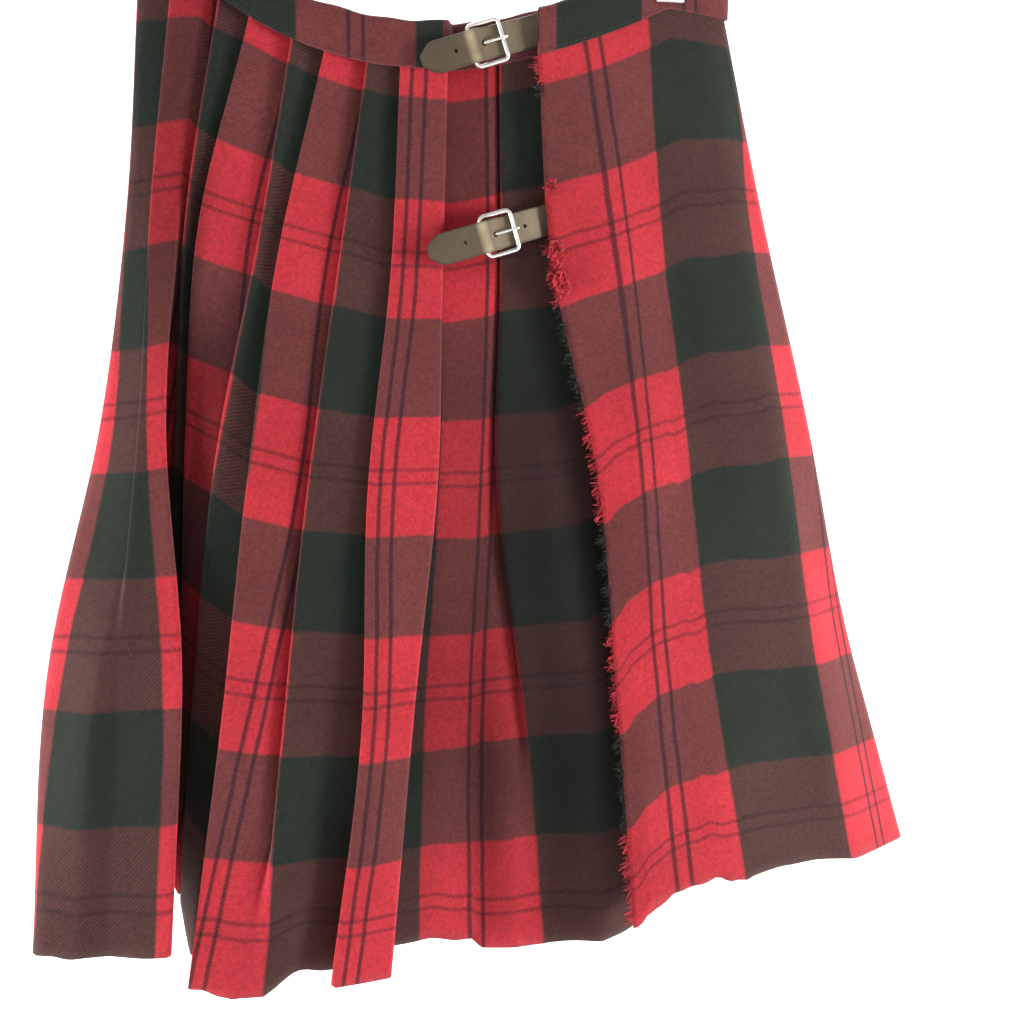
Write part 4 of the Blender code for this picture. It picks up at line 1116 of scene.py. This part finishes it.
white_plastic = mottled("hanger_plastic", 35.0, (0.66, 0.66, 0.64), (0.74, 0.74, 0.725), 0.28, 0.42,
                        900.0, 0.00005, 0.3, Subsurface_Weight=0.08)
steel_wire = mottled("hook_steel", 150.0, (0.62, 0.62, 0.64), (0.80, 0.80, 0.80), 0.2, 0.38,
                     800.0, 0.00003, 0.3, Metallic=1.0)
bar_end = BAR_HALF - 1.0
bar_path = [(-bar_end + 2 * bar_end * k / BAR_SPANS, 0.0, BAR_Z) for k in range(BAR_SPANS + 1)]
bar = rod("hanger_bar_rod", bar_path, BAR_RADIUS - 0.05, white_plastic, 24)
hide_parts("hanger_bar")
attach(bar, "root")

for tag in ("left", "right"):
    clip_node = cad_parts["clip_" + tag]
    clip_node.data.materials.clear()
    clip_node.data.materials.append(white_plastic)

shank = ((0.0, BAR_Z + 4.4), (0.0, -70.0), (0.0, -54.0), (3.0, -46.0), (10.0, -38.0))
hook_path = [(x, 0.0, z) for x, z in shank]
for a in (math.radians(turn) for turn in range(-30, 211, 20)):
    hook_path.append((HOOK_RADIUS * math.cos(a), 0.0, HOOK_Z + HOOK_RADIUS * math.sin(a)))
hook = rod("hook_wire", through(hook_path, 2.0), HOOK_WIRE, steel_wire, 16)
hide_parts("hook")
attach(hook, "root")

# --- floor and light --------------------------------------
# A pale round studio cove, its floor curving up into the wall.  Inside it a warm key lamp on the right and
# a fill on the left light the cloth, a wide one hangs overhead, and one lights the wall behind.

COVE_FLOOR, COVE_RADIUS, COVE_TOP = -1.15, 3.2, 2.6
COVE_BEND, BEND_SPANS = 1.0, 12
COVE_MIDDLE, COVE_SIDES = 0.6, 64


def studio_cove():
    """Floor and wall as one turned surface, open at the top."""
    profile = [(COVE_MIDDLE, COVE_FLOOR)]
    for k in range(BEND_SPANS + 1):
        a = math.pi / 2 * k / BEND_SPANS
        out = COVE_RADIUS - COVE_BEND + COVE_BEND * math.sin(a)
        profile.append((out, COVE_FLOOR + COVE_BEND * (1.0 - math.cos(a))))
    profile.append((COVE_RADIUS, COVE_TOP))
    ring = [(math.cos(a), math.sin(a)) for a in (2 * math.pi * k / COVE_SIDES for k in range(COVE_SIDES))]
    verts = [(0.0, 0.0, COVE_FLOOR)] + [(r * x, r * y, z) for r, z in profile for x, y in ring]
    faces = [(0, 1 + k, 1 + (k + 1) % COVE_SIDES) for k in range(COVE_SIDES)]
    for a, b, c, d in ring_faces(len(profile), COVE_SIDES):
        faces.append((1 + a, 1 + d, 1 + c, 1 + b))
    mesh = bpy.data.meshes.new("floor")
    mesh.from_pydata(verts, [], faces)
    smooth_faces(mesh)
    return shown("floor", mesh)


floor = studio_cove()
paper = Finish("backdrop_paper")
paper.set(Base_Color=(0.86, 0.86, 0.85), Roughness=1.0, Specular_IOR_Level=0.0)
floor.data.materials.append(paper.material)


def lamp(name, place, aim, size, power, colour=(1.0, 1.0, 1.0)):
    data = bpy.data.lights.new(name, "AREA")
    data.shape, data.size, data.energy, data.color = "SQUARE", size, power, colour
    ob = shown(name, data)
    ob.location = place
    ob.rotation_euler = (Vector(aim) - Vector(place)).to_track_quat("-Z", "Y").to_euler()


lamp("key", (1.2, -0.5, -0.42), (0.1, -0.03, -0.45), 0.4, 21.5, (1.0, 0.985, 0.965))
lamp("fill", (-1.3, -0.38, -0.62), (-0.15, -0.03, -0.5), 0.4, 20.0)
lamp("top", (0.0, 0.0, 3.0), (0.0, 0.0, 0.0), 3.0, 9.0)
lamp("paper", (0.0, 0.9, 1.4), (0.0, 2.2, -0.2), 2.4, 130.0)
world = bpy.data.worlds.new("studio")
world.use_nodes = True
background = world.node_tree.nodes["Background"].inputs
background["Color"].default_value = (1.0, 1.0, 1.0, 1.0)
background["Strength"].default_value = 0.05
bpy.context.scene.world = world
bpy.context.scene.view_settings.view_transform = "Standard"

# --- camera -----------------------------------------------
# A close view from slightly left and above, cut by the frame's top edge at the waist.

AIM = Vector((0.04, -0.03, -0.478))
TURN, RAISE, AWAY = math.radians(-12.0), math.radians(8.0), 0.85
FRAME_SPAN = 0.656 * MM * 1024  # what the frame spans at the aim's distance
SENSOR = 36.0
back_way = Vector((math.sin(TURN) * math.cos(RAISE), -math.cos(TURN) * math.cos(RAISE), math.sin(RAISE)))
camera_data = bpy.data.cameras.new("camera")
camera_data.sensor_width = SENSOR
camera_data.lens = SENSOR * AWAY / FRAME_SPAN
camera_data.clip_start = 0.01
camera = shown("camera", camera_data)
camera.location = AIM + back_way * AWAY
camera.rotation_euler = (-back_way).to_track_quat("-Z", "Y").to_euler()
bpy.context.scene.camera = camera
